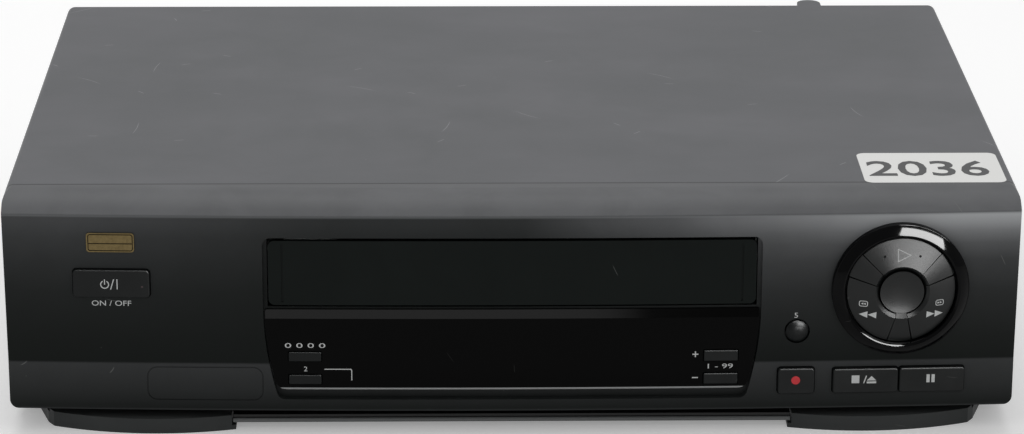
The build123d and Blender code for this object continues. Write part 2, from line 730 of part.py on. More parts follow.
def bottom_plate():
    side = half_width - sheet - fit_gap
    inner = side - sheet
    pan = block(-side, side, pan_front_y, rear_y, pan_z, pan_z + sheet)
    pan += block(-side, side, pan_front_y, pan_front_y + 1.5, pan_z, pan_z + sheet + pan_hem)
    for sign in (1, -1):
        pan += block(sign * inner, sign * side, seam_y + 1, rear_y - corner_radius, pan_z, pan_side_z)
        pan -= block(sign * pan_corner_x, sign * half_width, 0, pan_corner_y, 0, pan_side_z)
    pan += front_lip()
    for x, y in pcb_posts():
        pan += upright(x, y, pan_z, pcb_z, pcb_post_radius)
    vent = extrude(SlotOverall(vent_length, vent_width, rotation=90), amount=2 * sheet, both=True)
    for row in range(vent_rows):
        for column in range(vent_columns):
            x = vent_side - half_width + column * vent_pitch
            pan -= Pos(x, vent_front_y + row * vent_row_pitch, pan_z) * vent
    return pan


def front_lip():
    """The plate's front edge, bent down between the feet, with a bead along its foot."""
    y0, y1 = pan_lip_y, pan_lip_y + sheet
    bead_y = y0 - pan_bead
    side_view = Polyline((pan_front_y, pan_z + sheet), (y0, pan_z + sheet), (y0, pan_bead_z + pan_bead),
                         (bead_y, pan_bead_z), (bead_y, pan_lip_z), (y1, pan_lip_z), (y1, pan_z),
                         (pan_front_y, pan_z), close=True)
    return extrude(Plane.YZ * make_face(side_view), amount=pan_lip_x, both=True)


def pcb_posts():
    left, right = pcb_side + 2 * pcb_post_radius - half_width, pcb_right_x - 3 * pcb_post_radius - 1
    front, rear = pcb_front_y + 8, pcb_rear_y - 6
    return [(left, front + 8), (left, rear), (0, rear), (right, rear), (right, front), (-right / 2, front)]


def rear_panel():
    """The rear sheet, cut for the sockets."""
    half = half_width - sheet - corner_radius + fit_gap
    z1 = body_height - corner_radius - fit_gap
    sheet_metal = block(-half, half, rear_y, rear_y + rear_plate, pan_z, z1)
    for z in coax_zs:
        sheet_metal -= Pos(coax_x, rear_y, z) * Rot(90, 0, 0) * Cylinder(coax_collar_radius + fit_gap, 10)
    for x in scart_xs:
        hole = rounded(scart_width + 2 * fit_gap, scart_height + 2 * fit_gap, scart_corner / 2)
        sheet_metal -= behind(Pos(x, scart_z) * hole, rear_y - 5, rear_y + 5)
    hole = rounded(inlet_width + 2 * fit_gap, inlet_height + 2 * fit_gap, 2.0)
    sheet_metal -= behind(Pos(inlet_x, inlet_z) * hole, rear_y - 5, rear_y + 5)
    for column in range(vent_columns):
        x = rear_vent_side - half_width + column * rear_vent_pitch
        slot = Pos(x, rear_vent_z) * SlotOverall(rear_vent_length, rear_vent_width, rotation=90)
        sheet_metal -= behind(slot, rear_y - 5, rear_y + 5)
    return sheet_metal - screw_holes()


def front_foot(side):
    """A foot with a curved front rim that shows under the panel, and a toe at its inner end."""
    corner = (side * foot_outer_x, foot_outer_y)
    inner = (side * foot_inner_x, foot_inner_y)
    front = ThreePointArc(corner, (side * foot_mid_x, foot_mid_y), inner)
    back = Polyline(inner, (side * foot_inner_x, foot_depth), (side * foot_back_x, foot_depth),
                    (side * foot_side_x, foot_side_y), corner)
    plan = make_face(Wire([front] + back.edges()))
    toe = side * (foot_inner_x + foot_toe)
    outside = block(toe, side * half_width, -20, 2 * foot_depth, foot_toe_z, foot_rim_z)
    base = extrude(plan, amount=pan_z)
    rim = extrude(plan, amount=foot_rim_z) & block(-half_width, half_width, -20, pan_front_y, 0, 20)
    foot = (base + rim) & (outside + block(-half_width, half_width, -20, 2 * foot_depth, 0, foot_toe_z))
    return foot


def cover_screws():
    screws = []
    for x, z in screw_places():
        head = Pos(x, cover_rear_y + screw_head_height / 2, z) * Rot(90, 0, 0)
        start, end = rear_y - screw_shank_depth, cover_rear_y + 0.5
        shank = Pos(x, (start + end) / 2, z) * Rot(90, 0, 0) * Cylinder(screw_shank_radius, end - start)
        screws.append(head * Cylinder(screw_head_radius, screw_head_height) + shank)
    return screws


# ---- gears ----
def involute_points(radius_base, radius_from, radius_to):
    """Roll angle and radius at three places up an involute flank."""
    points = []
    for share in (0.0, 0.5, 1.0):
        radius = radius_from + share * (radius_to - radius_from)
        lean = sqrt(max((radius / radius_base) ** 2 - 1, 0))
        points.append((radius, lean - atan_of(lean)))
    return points


def atan_of(value):
    return asin(value / sqrt(1 + value**2))


def gear_outline(teeth, phase):
    """An involute spur gear seen along its axis, with one tooth at the phase angle."""
    pitch_radius = gear_module * teeth / 2
    base = pitch_radius * cos(radians(pressure_angle))
    tip = pitch_radius + addendum * gear_module
    root = pitch_radius - dedendum * gear_module
    lean = tan(radians(pressure_angle))
    half_tooth = (pi * gear_module / 2 - backlash / 2) / pitch_radius / 2 + lean - radians(pressure_angle)
    flank = involute_points(base, max(base, root), tip)
    corners = []
    for tooth in range(teeth):
        centre = radians(phase) + 2 * pi * tooth / teeth
        rising = [(root, -half_tooth)] + [(radius, roll - half_tooth) for radius, roll in flank]
        falling = [(radius, -angle) for radius, angle in reversed(rising)]
        for radius, angle in rising + falling:
            corners.append((radius * cos(centre + angle), radius * sin(centre + angle)))
    return make_face(Polyline(corners, close=True))


def spur_gear(teeth, phase, y, z, x0, width):
    outline = Pos(y, z) * gear_outline(teeth, phase)
    return sideways(outline, x0, x0 + width)


def next_phase(phase, teeth, next_teeth, direction):
    """Phase of a gear in the given direction whose teeth fall in the first gear's gaps."""
    place = (direction - phase) * teeth / 360
    return direction + 180 - (0.5 - place) * 360 / next_teeth


def along(y, z, direction, distance):
    return y + distance * cos(radians(direction)), z + distance * sin(radians(direction))


pinion_phase = -90.0
loading_phase = next_phase(pinion_phase, pinion_teeth, loading_teeth, loading_direction)
motor_phase = next_phase(loading_phase, loading_teeth, motor_teeth, motor_direction)
loading_y, loading_z = along(shaft_y, shaft_z, loading_direction,
                             gear_module * (pinion_teeth + loading_teeth) / 2)
motor_reach = gear_module * (loading_teeth + motor_teeth) / 2
motor_y, motor_z = along(loading_y, loading_z, motor_direction, motor_reach)
rack_z = shaft_z - gear_module * pinion_teeth / 2


def rack_outline():
    """Rack teeth facing up, with a gap under the pinion's middle."""
    pitch = pi * gear_module
    lean = tan(radians(pressure_angle))
    tip_half = pitch / 4 - backlash / 4 - addendum * gear_module * lean
    root_half = pitch / 4 - backlash / 4 + dedendum * gear_module * lean
    top, root = rack_z + addendum * gear_module, rack_z - dedendum * gear_module
    start = shaft_y - 1.5 * pitch
    end = start + (rack_teeth - 1) * pitch
    corners = [(start - pitch / 2, root - 1.6), (start - pitch / 2, root)]
    for tooth in range(rack_teeth):
        y = start + tooth * pitch
        corners += [(y - root_half, root), (y - tip_half, top), (y + tip_half, top), (y + root_half, root)]
    corners += [(end + pitch / 2, root), (end + pitch / 2, root - 1.6)]
    return make_face(Polyline(corners, close=True))


# ---- cassette lift ----
def slot_path(points):
    """A run of round-ended slots through a list of (y, z) points."""
    width = 2 * (pin_radius + slot_gap)
    shape = Pos(*points[0]) * Circle(width / 2)
    for start, end in zip(points, points[1:]):
        wide = abs(end[0] - start[0]) or width
        tall = abs(end[1] - start[1]) or width
        shape += Pos((start[0] + end[0]) / 2, (start[1] + end[1]) / 2) * Rectangle(wide, tall)
        shape += Pos(*end) * Circle(width / 2)
    return shape


def holder_pins():
    return (pin_front, pin_rear)


def lift_bracket(side):
    x0, x1 = side * bracket_x, side * (bracket_x + bracket_thickness)
    low, high = min(x0, x1), max(x0, x1)
    floor = deck_z + deck_thickness
    plate = make_face(Polyline(
        (bracket_front_y, floor), (bracket_rear_y, floor), (bracket_rear_y, bracket_top_z),
        (shaft_y + 9, bracket_top_z), (shaft_y + 5, shaft_z + 5), (shaft_y - 5, shaft_z + 5),
        (shaft_y - 9, bracket_top_z), (bracket_front_y, bracket_top_z), close=True))
    plate = fillet(plate.vertices().group_by(Axis.Y)[-1], 2.0)
    for y, z in holder_pins():
        plate -= slot_path([(y - lift_travel, z), (y, z), (y, z - lower_travel)])
    plate -= slot_path([(stud_ys[0] - lift_travel, stud_z), (stud_ys[1], stud_z)])
    bracket = sideways(plate, low, high)
    foot = side * (bracket_x + 7)
    bracket += block(x0, foot, bracket_front_y, bracket_rear_y, floor, floor + bracket_thickness)
    bracket -= cross_bar(low - 1, high + 1, shaft_y, shaft_z, shaft_radius + running_gap)
    if side > 0:
        bracket += cross_bar(x1 - 0.5, gear_x + gear_width + 0.8, loading_y, loading_z, loading_stud_radius)
    return bracket


def lift_slider(side):
    x0, x1 = side * slider_x, side * (slider_x + slider_thickness)
    low, high = min(x0, x1), max(x0, x1)
    floor = stud_z - 4
    top = rack_z - dedendum * gear_module
    plate = Pos((holder_front_y + holder_rear_y) / 2, (floor + top) / 2) * Rectangle(
        holder_rear_y - holder_front_y - 2, top - floor)
    plate += rack_outline()
    for y, z in holder_pins():
        plate -= slot_path([(y, z), (y, z - lower_travel)])
    slider = sideways(plate, low, high)
    for y in stud_ys:
        outer = side * (bracket_x + bracket_thickness + 0.8)
        slider += cross_bar(min(x0, outer), max(x0, outer), y, stud_z, pin_radius)
    return slider


def cassette_holder():
    inner, outer = cassette_half_width, cassette_half_width + sheet
    low, high = holder_floor_z - sheet, holder_floor_z + holder_height + sheet
    shell = block(-outer, outer, holder_front_y, holder_rear_y, low, high)
    shell -= block(-inner, inner, holder_front_y - 1, holder_rear_y + 1, holder_floor_z, high - sheet)
    shell -= block(12 - inner, inner - 12, holder_front_y - 1, holder_rear_y + 1,
                   low - 1, holder_floor_z + 1)
    shell -= block(-55, 55, holder_front_y + 12, holder_rear_y - 10, high - 2, high + 1)
    for side in (1, -1):
        shell += block(side * (inner - 7), side * outer, holder_rear_y - sheet, holder_rear_y,
                       low, holder_floor_z + 7)
        for y, z in holder_pins():
            end = side * (bracket_x + bracket_thickness + 0.5)
            shell += cross_bar(min(side * inner, end), max(side * inner, end), y, z, pin_radius)
    return shell


def lift_shaft():
    reach = bracket_x + bracket_thickness + 2
    bar = cross_bar(-reach, gear_x + gear_width, shaft_y, shaft_z, shaft_radius)
    width = slider_thickness + 0.4
    for x in (slider_x - 0.2, -slider_x - slider_thickness - 0.2):
        bar += spur_gear(pinion_teeth, pinion_phase, shaft_y, shaft_z, x, width)
    bar += spur_gear(pinion_teeth, pinion_phase, shaft_y, shaft_z, gear_x, gear_width)
    return bar


def loading_gear():
    gear = spur_gear(loading_teeth, loading_phase, loading_y, loading_z, gear_x, gear_width)
    web = Circle(gear_module * loading_teeth / 2 - 4) - Circle(5.5)
    gear -= sideways(Pos(loading_y, loading_z) * web, gear_x + gear_width - 1.5, gear_x + gear_width)
    bore = loading_stud_radius + running_gap
    return gear - cross_bar(gear_x - 1, gear_x + gear_width + 1, loading_y, loading_z, bore)


def motor_pinion():
    pinion = spur_gear(motor_teeth, motor_phase, motor_y, motor_z, gear_x, gear_width)
    return pinion + cross_bar(gear_x, gear_x + gear_width + 3, motor_y, motor_z, 1.0)


def loading_motor():
    start = gear_x + gear_width + 1.2
    can = cross_bar(start, start + motor_length, motor_y, motor_z, motor_radius)
    can -= cross_bar(start - 1, start + 3, motor_y, motor_z, 1.0 + running_gap)
    foot = block(start, start + 1.5, motor_y - 8, motor_y + 8, deck_z + deck_thickness, motor_z)
    foot -= cross_bar(start - 1, start + 3, motor_y, motor_z, 1.0 + running_gap)
    return can + foot


# ---- tape deck ----
def guide_slot(side):
    start, end = guide_start, guide_end
    middle = Pos(side * (start[0] + end[0]) / 2, (start[1] + end[1]) / 2)
    length = sqrt((end[0] - start[0]) ** 2 + (end[1] - start[1]) ** 2)
    angle = 90 - side * degrees(asin((end[0] - start[0]) / length))
    return middle * SlotCenterToCenter(length, 2 * (pin_radius + slot_gap), rotation=angle)


def deck_posts():
    """The tabs under the deck's corners, which stand on the pan."""
    side = deck_half_width - deck_post_inset
    ends = (deck_front_y + front_y_inset, deck_rear_y - front_y_inset)
    return [(sign * side, y) for sign in (1, -1) for y in ends]


def deck_plate():
    top_z = deck_z + deck_thickness
    plate = block(-deck_half_width, deck_half_width, deck_front_y, deck_rear_y, deck_z, top_z)
    for side in (1, -1):
        plate -= Pos(0, 0, deck_z) * extrude(guide_slot(side), amount=5, both=True)
        x = side * reel_x
        plate += upright(x, reel_y, deck_z, reel_top_z + 1, reel_post_radius)
    for x, y in deck_posts():
        plate += block(x - deck_post_width / 2, x + deck_post_width / 2,
                       y - deck_post_depth / 2, y + deck_post_depth / 2, pan_z + sheet, deck_z)
    plate -= upright(capstan_x, capstan_y, deck_z - 1, deck_z + 3, 5.0)
    plate -= upright(0, drum_y, deck_z - 1, deck_z + 3, 12.0)
    floor = deck_z + deck_thickness
    plate += upright(*pinch_pivot, floor - 1, arm_z + arm_thickness + 5, post_radius)
    plate += upright(*tension_pivot, floor - 1, arm_z + arm_thickness + 5, post_radius)
    return plate


def main_board():
    board = block(pcb_side - half_width, pcb_right_x, pcb_front_y, pcb_rear_y, pcb_z, pcb_z + pcb_thickness)
    for x, y in deck_posts():
        board -= block(x - deck_post_width / 2 - 1, x + deck_post_width / 2 + 1,
                       y - deck_post_depth / 2 - 1, y + deck_post_depth / 2 + 1, 0, 20)
    return board


def lower_drum():
    tilt = Pos(0, drum_y, deck_z + deck_thickness) * Rot(drum_tilt, 0, 0)
    rise = -deck_z - deck_thickness
    core = tilt * upright(0, 0, drum_base_z + rise - 1, drum_split_z + rise, drum_radius)
    core -= tilt * upright(0, 0, drum_split_z + rise - 3, drum_split_z + rise + 1, drum_radius - 4)
    core += tilt * upright(0, 0, drum_base_z + rise, drum_top_z + rise + 1, drum_shaft_radius)
    core -= block(-40, 40, drum_y - 40, drum_y + 40, 0, deck_z + deck_thickness)
    base = block(-33, 33, drum_y - 31, drum_y + 33, deck_z + deck_thickness, drum_base_z + 3)
    base = fillet(base.edges().filter_by(Axis.Z), 10)
    return core + base


def upper_drum():
    tilt = Pos(0, drum_y, deck_z + deck_thickness) * Rot(drum_tilt, 0, 0)
    rise = -deck_z - deck_thickness
    low, high = drum_split_z + rise + 0.4, drum_top_z + rise
    drum = upright(0, 0, low, high, drum_radius)
    drum -= upright(0, 0, high - 6, high + 1, drum_radius - 6) - upright(0, 0, high - 7, high + 2, 12)
    drum -= upright(0, 0, low - 1, high + 1, drum_shaft_radius + running_gap)
    for side in (1, -1):
        drum -= block(side * (drum_radius - 3), side * (drum_radius + 1), -2.5, 2.5, low - 1, low + 3)
    return tilt * drum


def drum_motor():
    neck = upright(0, drum_y, deck_z - 1, deck_z + deck_thickness, 11.7)
    return upright(0, drum_y, 15.0, deck_z, 24.0) + neck


def reel_table(side):
    x = side * reel_x
    floor = deck_z + deck_thickness + fit_gap
    table = upright(x, reel_y, floor, reel_base_z, reel_radius)
    table += upright(x, reel_y, reel_base_z - 0.5, reel_top_z - 3, spindle_radius)
    table += Pos(x, reel_y, reel_top_z - 1.5) * Cone(spindle_radius, spindle_radius - 4, 3)
    for arm in range(6):
        rib = block(spindle_radius - 1, spindle_radius + 1.6, -0.8, 0.8, reel_base_z, reel_top_z - 4)
        table += Pos(x, reel_y, 0) * Rot(0, 0, 60 * arm) * rib
    return table - upright(x, reel_y, floor - 1, reel_top_z + 2, reel_post_radius + running_gap)


def capstan_bearing():
    sleeve = upright(capstan_x, capstan_y, flywheel_z1 + fit_gap, arm_z - fit_gap, 5.0)
    return sleeve - upright(capstan_x, capstan_y, 0, 50, capstan_radius + running_gap)


def capstan_rotor():
    wheel = upright(capstan_x, capstan_y, flywheel_z0, flywheel_z1, flywheel_radius)
    wheel -= upright(capstan_x, capstan_y, flywheel_z0 - 1, flywheel_z0 + 2, 19) - upright(
        capstan_x, capstan_y, 0, 30, 6)
    return wheel + upright(capstan_x, capstan_y, flywheel_z0, capstan_top_z, capstan_radius)


def swing_arm(pivot, length, angle, width):
    """A flat arm on a deck post, seen from above."""
    end = along(pivot[0], pivot[1], angle, length)
    middle = Pos((pivot[0] + end[0]) / 2, (pivot[1] + end[1]) / 2)
    plan = middle * SlotCenterToCenter(length, width, rotation=angle)
    arm = Pos(0, 0, arm_z) * extrude(plan, amount=arm_thickness)
    arm += upright(*pivot, arm_z, arm_z + 5, width / 2)
    return arm - upright(*pivot, 0, 60, post_radius + running_gap), end


def pinch_arm():
    arm, end = swing_arm(pinch_pivot, pinch_arm_length, pinch_rest_angle, 9)
    return arm + upright(*end, arm_z, capstan_top_z - 2, 1.5)


def pinch_roller():
    end = along(*pinch_pivot, pinch_rest_angle, pinch_arm_length)
    low = arm_z + 5 + fit_gap
    roller = upright(*end, low, capstan_top_z - 5, pinch_radius)
    return roller - upright(*end, 0, 80, 1.5 + running_gap)


def tension_arm():
    arm, end = swing_arm(tension_pivot, tension_arm_length, tension_rest_angle, 7)
    return arm + upright(*end, arm_z, guide_top_z, 1.6)


def tape_guide(side):
    """A sliding guide: base block, keel in the deck slot, roller post and slant post."""
    x, y = side * guide_start[0], guide_start[1]
    half = guide_block / 2
    floor = deck_z + deck_thickness + 0.2
    guide = block(x - half, x + half, y - half, y + half, floor, floor + 3.5)
    guide = fillet(guide.edges().filter_by(Axis.Z), 2.5)
    guide += upright(x, y, deck_z - 2, floor + 1, pin_radius)
    guide += upright(x, y, deck_z - 2, deck_z - 0.5, pin_radius + 1.5)
    guide += upright(x, y, floor, guide_top_z, 3.0) - upright(x, y, 36, 52, 9) + upright(x, y, 35, 53, 2.4)
    slant = Pos(x + side * 3.2, y + 2.5, floor + 2) * Rot(0, -side * 7, 0)
    return guide + slant * upright(0, 0, 0, 20, 1.1)


def head_block(x, y, width, depth, height):
    """A head on its small base, fixed to the deck."""
    floor = deck_z + deck_thickness
    base = block(x - width / 2, x + width / 2, y - depth / 2, y + depth / 2, floor, floor + 8)
    head = block(x - width / 2 + 1, x + width / 2 - 1, y - depth / 2 + 1, y + depth / 2 - 1,
                 floor + 7, floor + height)
    return base + fillet(head.edges().filter_by(Axis.Z), 1.5)


# ---- electrics ----
def power_transformer():
    core = block(supply_x - core_half_x, supply_x + core_half_x, core_y0, core_y1,
                 pcb_z + pcb_thickness, core_top_z)
    winding = block(supply_x - winding_half_x, supply_x + winding_half_x, winding_y0, winding_y1,
                    winding_z0, winding_z1)
    return core + fillet(winding.edges().filter_by(Axis.Z), winding_corner)


def smoothing_capacitors():
    floor = pcb_z + pcb_thickness
    return [upright(supply_x + x, y, floor, floor + tall, radius) for x, y, radius, tall in capacitors]


def heat_sink():
    floor = pcb_z + pcb_thickness
    face = sink_y + sink_plate
    sink = block(sink_x0, sink_x0 + sink_width, sink_y, face, floor, sink_top_z)
    pitch = (sink_width - fin_width - 2) / (fin_count - 1)
    for fin in range(fin_count):
        x = sink_x0 + 1 + fin * pitch
        sink += block(x, x + fin_width, face, face + fin_depth, floor, sink_top_z)
    return sink


def tuner_can():
    can = block(tuner_x0, tuner_x1, tuner_y0, rear_y, tuner_z0, tuner_z1)
    can = fillet(can.edges().filter_by(Axis.Z), 1.5)
    foot = block(tuner_x0 + tuner_foot_inset, tuner_x1 - tuner_foot_inset, tuner_y0 + tuner_foot_inset,
                 rear_y - tuner_foot_inset, pan_z + sheet, tuner_z0)
    return can + foot


def coax_sockets():
    """Two aerial sockets: a collar through the rear panel, a short neck and the barrel for the plug."""
    sockets = []
    end = cover_rear_y - sheet + coax_reach
    neck_y = rear_y + rear_plate + coax_collar
    for z in coax_zs:
        axis = Pos(coax_x, 0, z)
        collar = axis * behind(Circle(coax_collar_radius), rear_y, neck_y)
        neck = axis * behind(Circle(coax_neck_radius), neck_y, neck_y + coax_neck)
        barrel = axis * behind(Circle(coax_radius), neck_y + coax_neck, end)
        bore = axis * behind(Circle(coax_bore), rear_y + rear_plate, end + 1)
        pin = axis * behind(Circle(coax_pin_radius), rear_y, end - 1)
        sockets.append(collar + neck + barrel - bore + pin)
    return sockets


def scart_sockets():
    sockets = []
    front, back = rear_y - scart_back, rear_y + rear_plate + scart_reach
    for x in scart_xs:
        spot = Pos(x, scart_z)
        shroud = behind(spot * rounded(scart_width, scart_height, scart_corner / 2), front, back)
        room = spot * rounded(scart_width - 2 * scart_wall, scart_height - 2 * scart_wall, scart_corner / 3)
        shroud -= behind(room, back - 8, back + 1)
        shroud += behind(spot * Rectangle(scart_width, scart_height), front - 2, front)
        shroud += block(x - 20, x + 20, front - 2, front, pcb_z + pcb_thickness, scart_z)
        sockets.append(shroud)
    return sockets


def mains_inlet():
    front, back = rear_y - inlet_back, rear_y + rear_plate + 1.0
    body = behind(Pos(inlet_x, inlet_z) * rounded(inlet_width, inlet_height, 1.5), front, back)
    cavity = Pos(inlet_x, inlet_z) * rounded(inlet_cavity_w, inlet_cavity_h, inlet_cavity_h / 2 - 0.1)
    body -= behind(cavity, back - inlet_cavity_d, back + 1)
    for side in (1, -1):
        x = inlet_x + side * inlet_pin_pitch / 2
        pin = Cylinder(inlet_pin_radius, inlet_cavity_d)
        body += Pos(x, back - inlet_cavity_d / 2 - 2, inlet_z) * Rot(90, 0, 0) * pin
    return body + block(inlet_x - 10, inlet_x + 10, front, front + 10, pcb_z + pcb_thickness, inlet_z)


# ---- assembly ----
parts["front_panel"] = front_panel()
parts["cassette_flap"] = cassette_flap()
parts["flap_spring"] = flap_spring()
parts["display_window"] = display_window()
for name, x, z, width, height, proud, radius in plain_buttons:
    parts[name] = plain_button(x, z, width, height, proud, radius, panel_wall)
for name, x, z, width, height, proud, radius in window_buttons:
    parts[name] = plain_button(x, z, width, height, proud, radius, recess_depth + tray_wall)
parts["display_button"] = display_button()
for name, (angle0, angle1) in dial_sectors.items():
    parts[name] = dial_button(angle0, angle1)
parts["dial_ring"] = dial_ring()
parts["dial_hub"] = dial_hub()
parts["tact_switches"] = tact_switches()
parts["front_board"] = front_board()
parts["display_tube"] = display_tube()
parts["badge_plate"] = badge_plate()
parts["top_cover"] = top_cover()
parts["bottom_plate"] = bottom_plate()
parts["rear_panel"] = rear_panel()
parts["front_foot_left"] = front_foot(-1)
parts["front_foot_right"] = front_foot(1)
parts["rear_feet"] = [
    upright(x, rear_foot_y, 0, pan_z, rear_foot_radius) for x in (rear_foot_x, -rear_foot_x)]
parts["cover_screws"] = cover_screws()
parts["lift_bracket_left"] = lift_bracket(-1)
parts["lift_bracket_right"] = lift_bracket(1)
parts["lift_slider_left"] = lift_slider(-1)
parts["lift_slider_right"] = lift_slider(1)
parts["cassette_holder"] = cassette_holder()
parts["lift_shaft"] = lift_shaft()
parts["loading_gear"] = loading_gear()
parts["motor_pinion"] = motor_pinion()
parts["loading_motor"] = loading_motor()
parts["deck_plate"] = deck_plate()
parts["main_board"] = main_board()
parts["lower_drum"] = lower_drum()
parts["upper_drum"] = upper_drum()
parts["drum_motor"] = drum_motor()
parts["supply_reel_table"] = reel_table(-1)
parts["takeup_reel_table"] = reel_table(1)
parts["capstan_bearing"] = capstan_bearing()
parts["capstan_rotor"] = capstan_rotor()
parts["pinch_arm"] = pinch_arm()
parts["pinch_roller"] = pinch_roller()
parts["tension_arm"] = tension_arm()
parts["supply_guide"] = tape_guide(-1)
parts["takeup_guide"] = tape_guide(1)
parts["fixed_heads"] = [head_block(*audio_head), head_block(*erase_head)]
parts["power_transformer"] = power_transformer()
parts["smoothing_capacitors"] = smoothing_capacitors()
parts["heat_sink"] = heat_sink()
parts["tuner_can"] = tuner_can()
parts["coax_sockets"] = coax_sockets()
parts["scart_sockets"] = scart_sockets()
parts["mains_inlet"] = mains_inlet()


def as_shape(piece):
    return Compound(children=piece) if isinstance(piece, list) else piece


shapes = {name: as_shape(piece) for name, piece in parts.items()}
boxes = [shape.bounding_box() for shape in shapes.values()]
middle_y = (min(box.min.Y for box in boxes) + max(box.max.Y for box in boxes)) / 2
os.makedirs("parts", exist_ok=True)
for name, shape in shapes.items():
    export_step(Pos(0, -middle_y, 0) * shape, f"parts/{name}.step")
print(f"{len(shapes)} parts, footprint middle at y = {middle_y:.4f}")
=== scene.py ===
# %% [markdown]
# # A front-loading video cassette recorder
# The frame holds every piece of the recorder at its real size, in metres.
# Here each piece gets its finish, and the printed marks, label and badge are added.
# First the frame is loaded.

from math import asin, cos, pi, radians, sin, sqrt

import bmesh
import bpy
from mathutils import Matrix, Vector


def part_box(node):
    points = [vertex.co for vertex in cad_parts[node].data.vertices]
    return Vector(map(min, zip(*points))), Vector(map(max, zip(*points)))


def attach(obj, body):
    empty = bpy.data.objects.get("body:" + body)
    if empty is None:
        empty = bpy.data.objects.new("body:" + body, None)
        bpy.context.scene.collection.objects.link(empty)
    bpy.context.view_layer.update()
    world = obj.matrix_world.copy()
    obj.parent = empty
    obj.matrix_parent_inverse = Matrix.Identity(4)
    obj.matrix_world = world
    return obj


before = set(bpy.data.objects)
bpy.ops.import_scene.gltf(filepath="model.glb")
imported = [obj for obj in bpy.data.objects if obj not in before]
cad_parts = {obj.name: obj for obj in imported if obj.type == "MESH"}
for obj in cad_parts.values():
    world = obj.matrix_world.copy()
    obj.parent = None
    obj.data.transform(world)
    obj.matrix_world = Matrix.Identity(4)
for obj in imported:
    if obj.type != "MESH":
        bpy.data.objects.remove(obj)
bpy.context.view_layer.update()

# %% [markdown]
# ## Units, colours and nodes
# Sizes are written in millimetres and turned to metres by one factor.
# Colours are written as the hex values that a picture editor shows, and turned to linear light.
# One small function adds a node with its settings and links, so that a material reads as a list.

# %% Helpers for sizes, colours and nodes
MM = 0.001


def linear(hex_colour):
    """A hex colour as linear red, green, blue and alpha."""
    parts = [int(hex_colour[i:i + 2], 16) / 255 for i in (1, 3, 5)]
    return [c / 12.92 if c <= 0.04045 else ((c + 0.055) / 1.055) ** 2.4 for c in parts] + [1.0]


def add(tree, kind, inputs=None, **settings):
    """Add a node: settings are its properties, inputs are values or sockets to link."""
    node = tree.nodes.new(kind)
    for name, value in settings.items():
        setattr(node, name, value)
    for name, value in (inputs or {}).items():
        if isinstance(value, bpy.types.NodeSocket):
            tree.links.new(value, node.inputs[name])
        else:
            node.inputs[name].default_value = value
    return node


def per_mm(size_mm):
    """Texture scale whose pattern repeats about once in size_mm, in metres of object space."""
    return 1.0 / (size_mm * MM)


def new_material(name):
    """An empty material with its shader and its object-space coordinates."""
    material = bpy.data.materials.new(name)
    material.use_nodes = True
    tree = material.node_tree
    shader = tree.nodes["Principled BSDF"]
    place = add(tree, "ShaderNodeTexCoord").outputs["Object"]
    return material, tree, shader, place


print("hex grey #808080 in linear light:", round(linear("#808080")[0], 3))


# %% Helpers that shape a value
def ramp(tree, value, stops):
    """A colour ramp from (position, hex or grey) stops."""
    node = add(tree, "ShaderNodeValToRGB", {"Fac": value})
    elements = node.color_ramp.elements
    while len(elements) < len(stops):
        elements.new(0.5)
    for element, (position, colour) in zip(elements, stops):
        element.position = position
        element.color = linear(colour) if isinstance(colour, str) else [colour] * 3 + [1.0]
    return node.outputs["Color"]


def product(tree, first, second):
    """The product of two values, each a socket or a number."""
    return add(tree, "ShaderNodeMath", {0: first, 1: second}, operation="MULTIPLY").outputs[0]


def spread(tree, value, low, high, start=0.0, end=1.0):
    """A value that goes from start to end, laid out from low to high."""
    return add(tree, "ShaderNodeMapRange", {"Value": value, "From Min": start, "From Max": end,
                                            "To Min": low, "To Max": high}).outputs[0]


def noise(tree, place, size_mm, detail, **inputs):
    """Cloudy values from 0 to 1, with patches of about size_mm."""
    return add(tree, "ShaderNodeTexNoise", {"Vector": place, "Scale": per_mm(size_mm),
                                            "Detail": detail, **inputs}).outputs["Fac"]


print("scale of a pattern with patches of 30 mm:", round(per_mm(30.0), 1))


# %% [markdown]
# ## Wear that every used recorder has
# A used recorder carries a few short scratches, specks of dust and the smudges that hands leave.
# A noise or cell edge would give a net of cracks. Here each cell of a pattern holds one thin stroke
# of its own direction and bend, and most cells stay empty, as on the real thing.
# Real scratches are 0.1 mm wide; they are drawn 0.2 to 0.4 mm wide, so that they show.

# %% A mask of scratches
BEND = 0.25                 # how far a stroke bends, as a share of its length
TURN_SPREAD = 1.1           # radians that strokes turn to either side of their main direction
SKEW_X, SKEW_Y = 0.7, -0.9  # how far the height shifts the two flat coordinates


def flat_place(tree, place):
    """Two skewed coordinates that run over faces in any of the three directions."""
    split = add(tree, "ShaderNodeSeparateXYZ", {"Vector": place})
    height = split.outputs["Z"]
    along = add(tree, "ShaderNodeMath", {0: height, 1: SKEW_X, 2: split.outputs["X"]},
                operation="MULTIPLY_ADD")
    across = add(tree, "ShaderNodeMath", {0: height, 1: SKEW_Y, 2: split.outputs["Y"]},
                 operation="MULTIPLY_ADD")
    return add(tree, "ShaderNodeCombineXYZ",
               {"X": along.outputs[0], "Y": across.outputs[0]}).outputs[0]


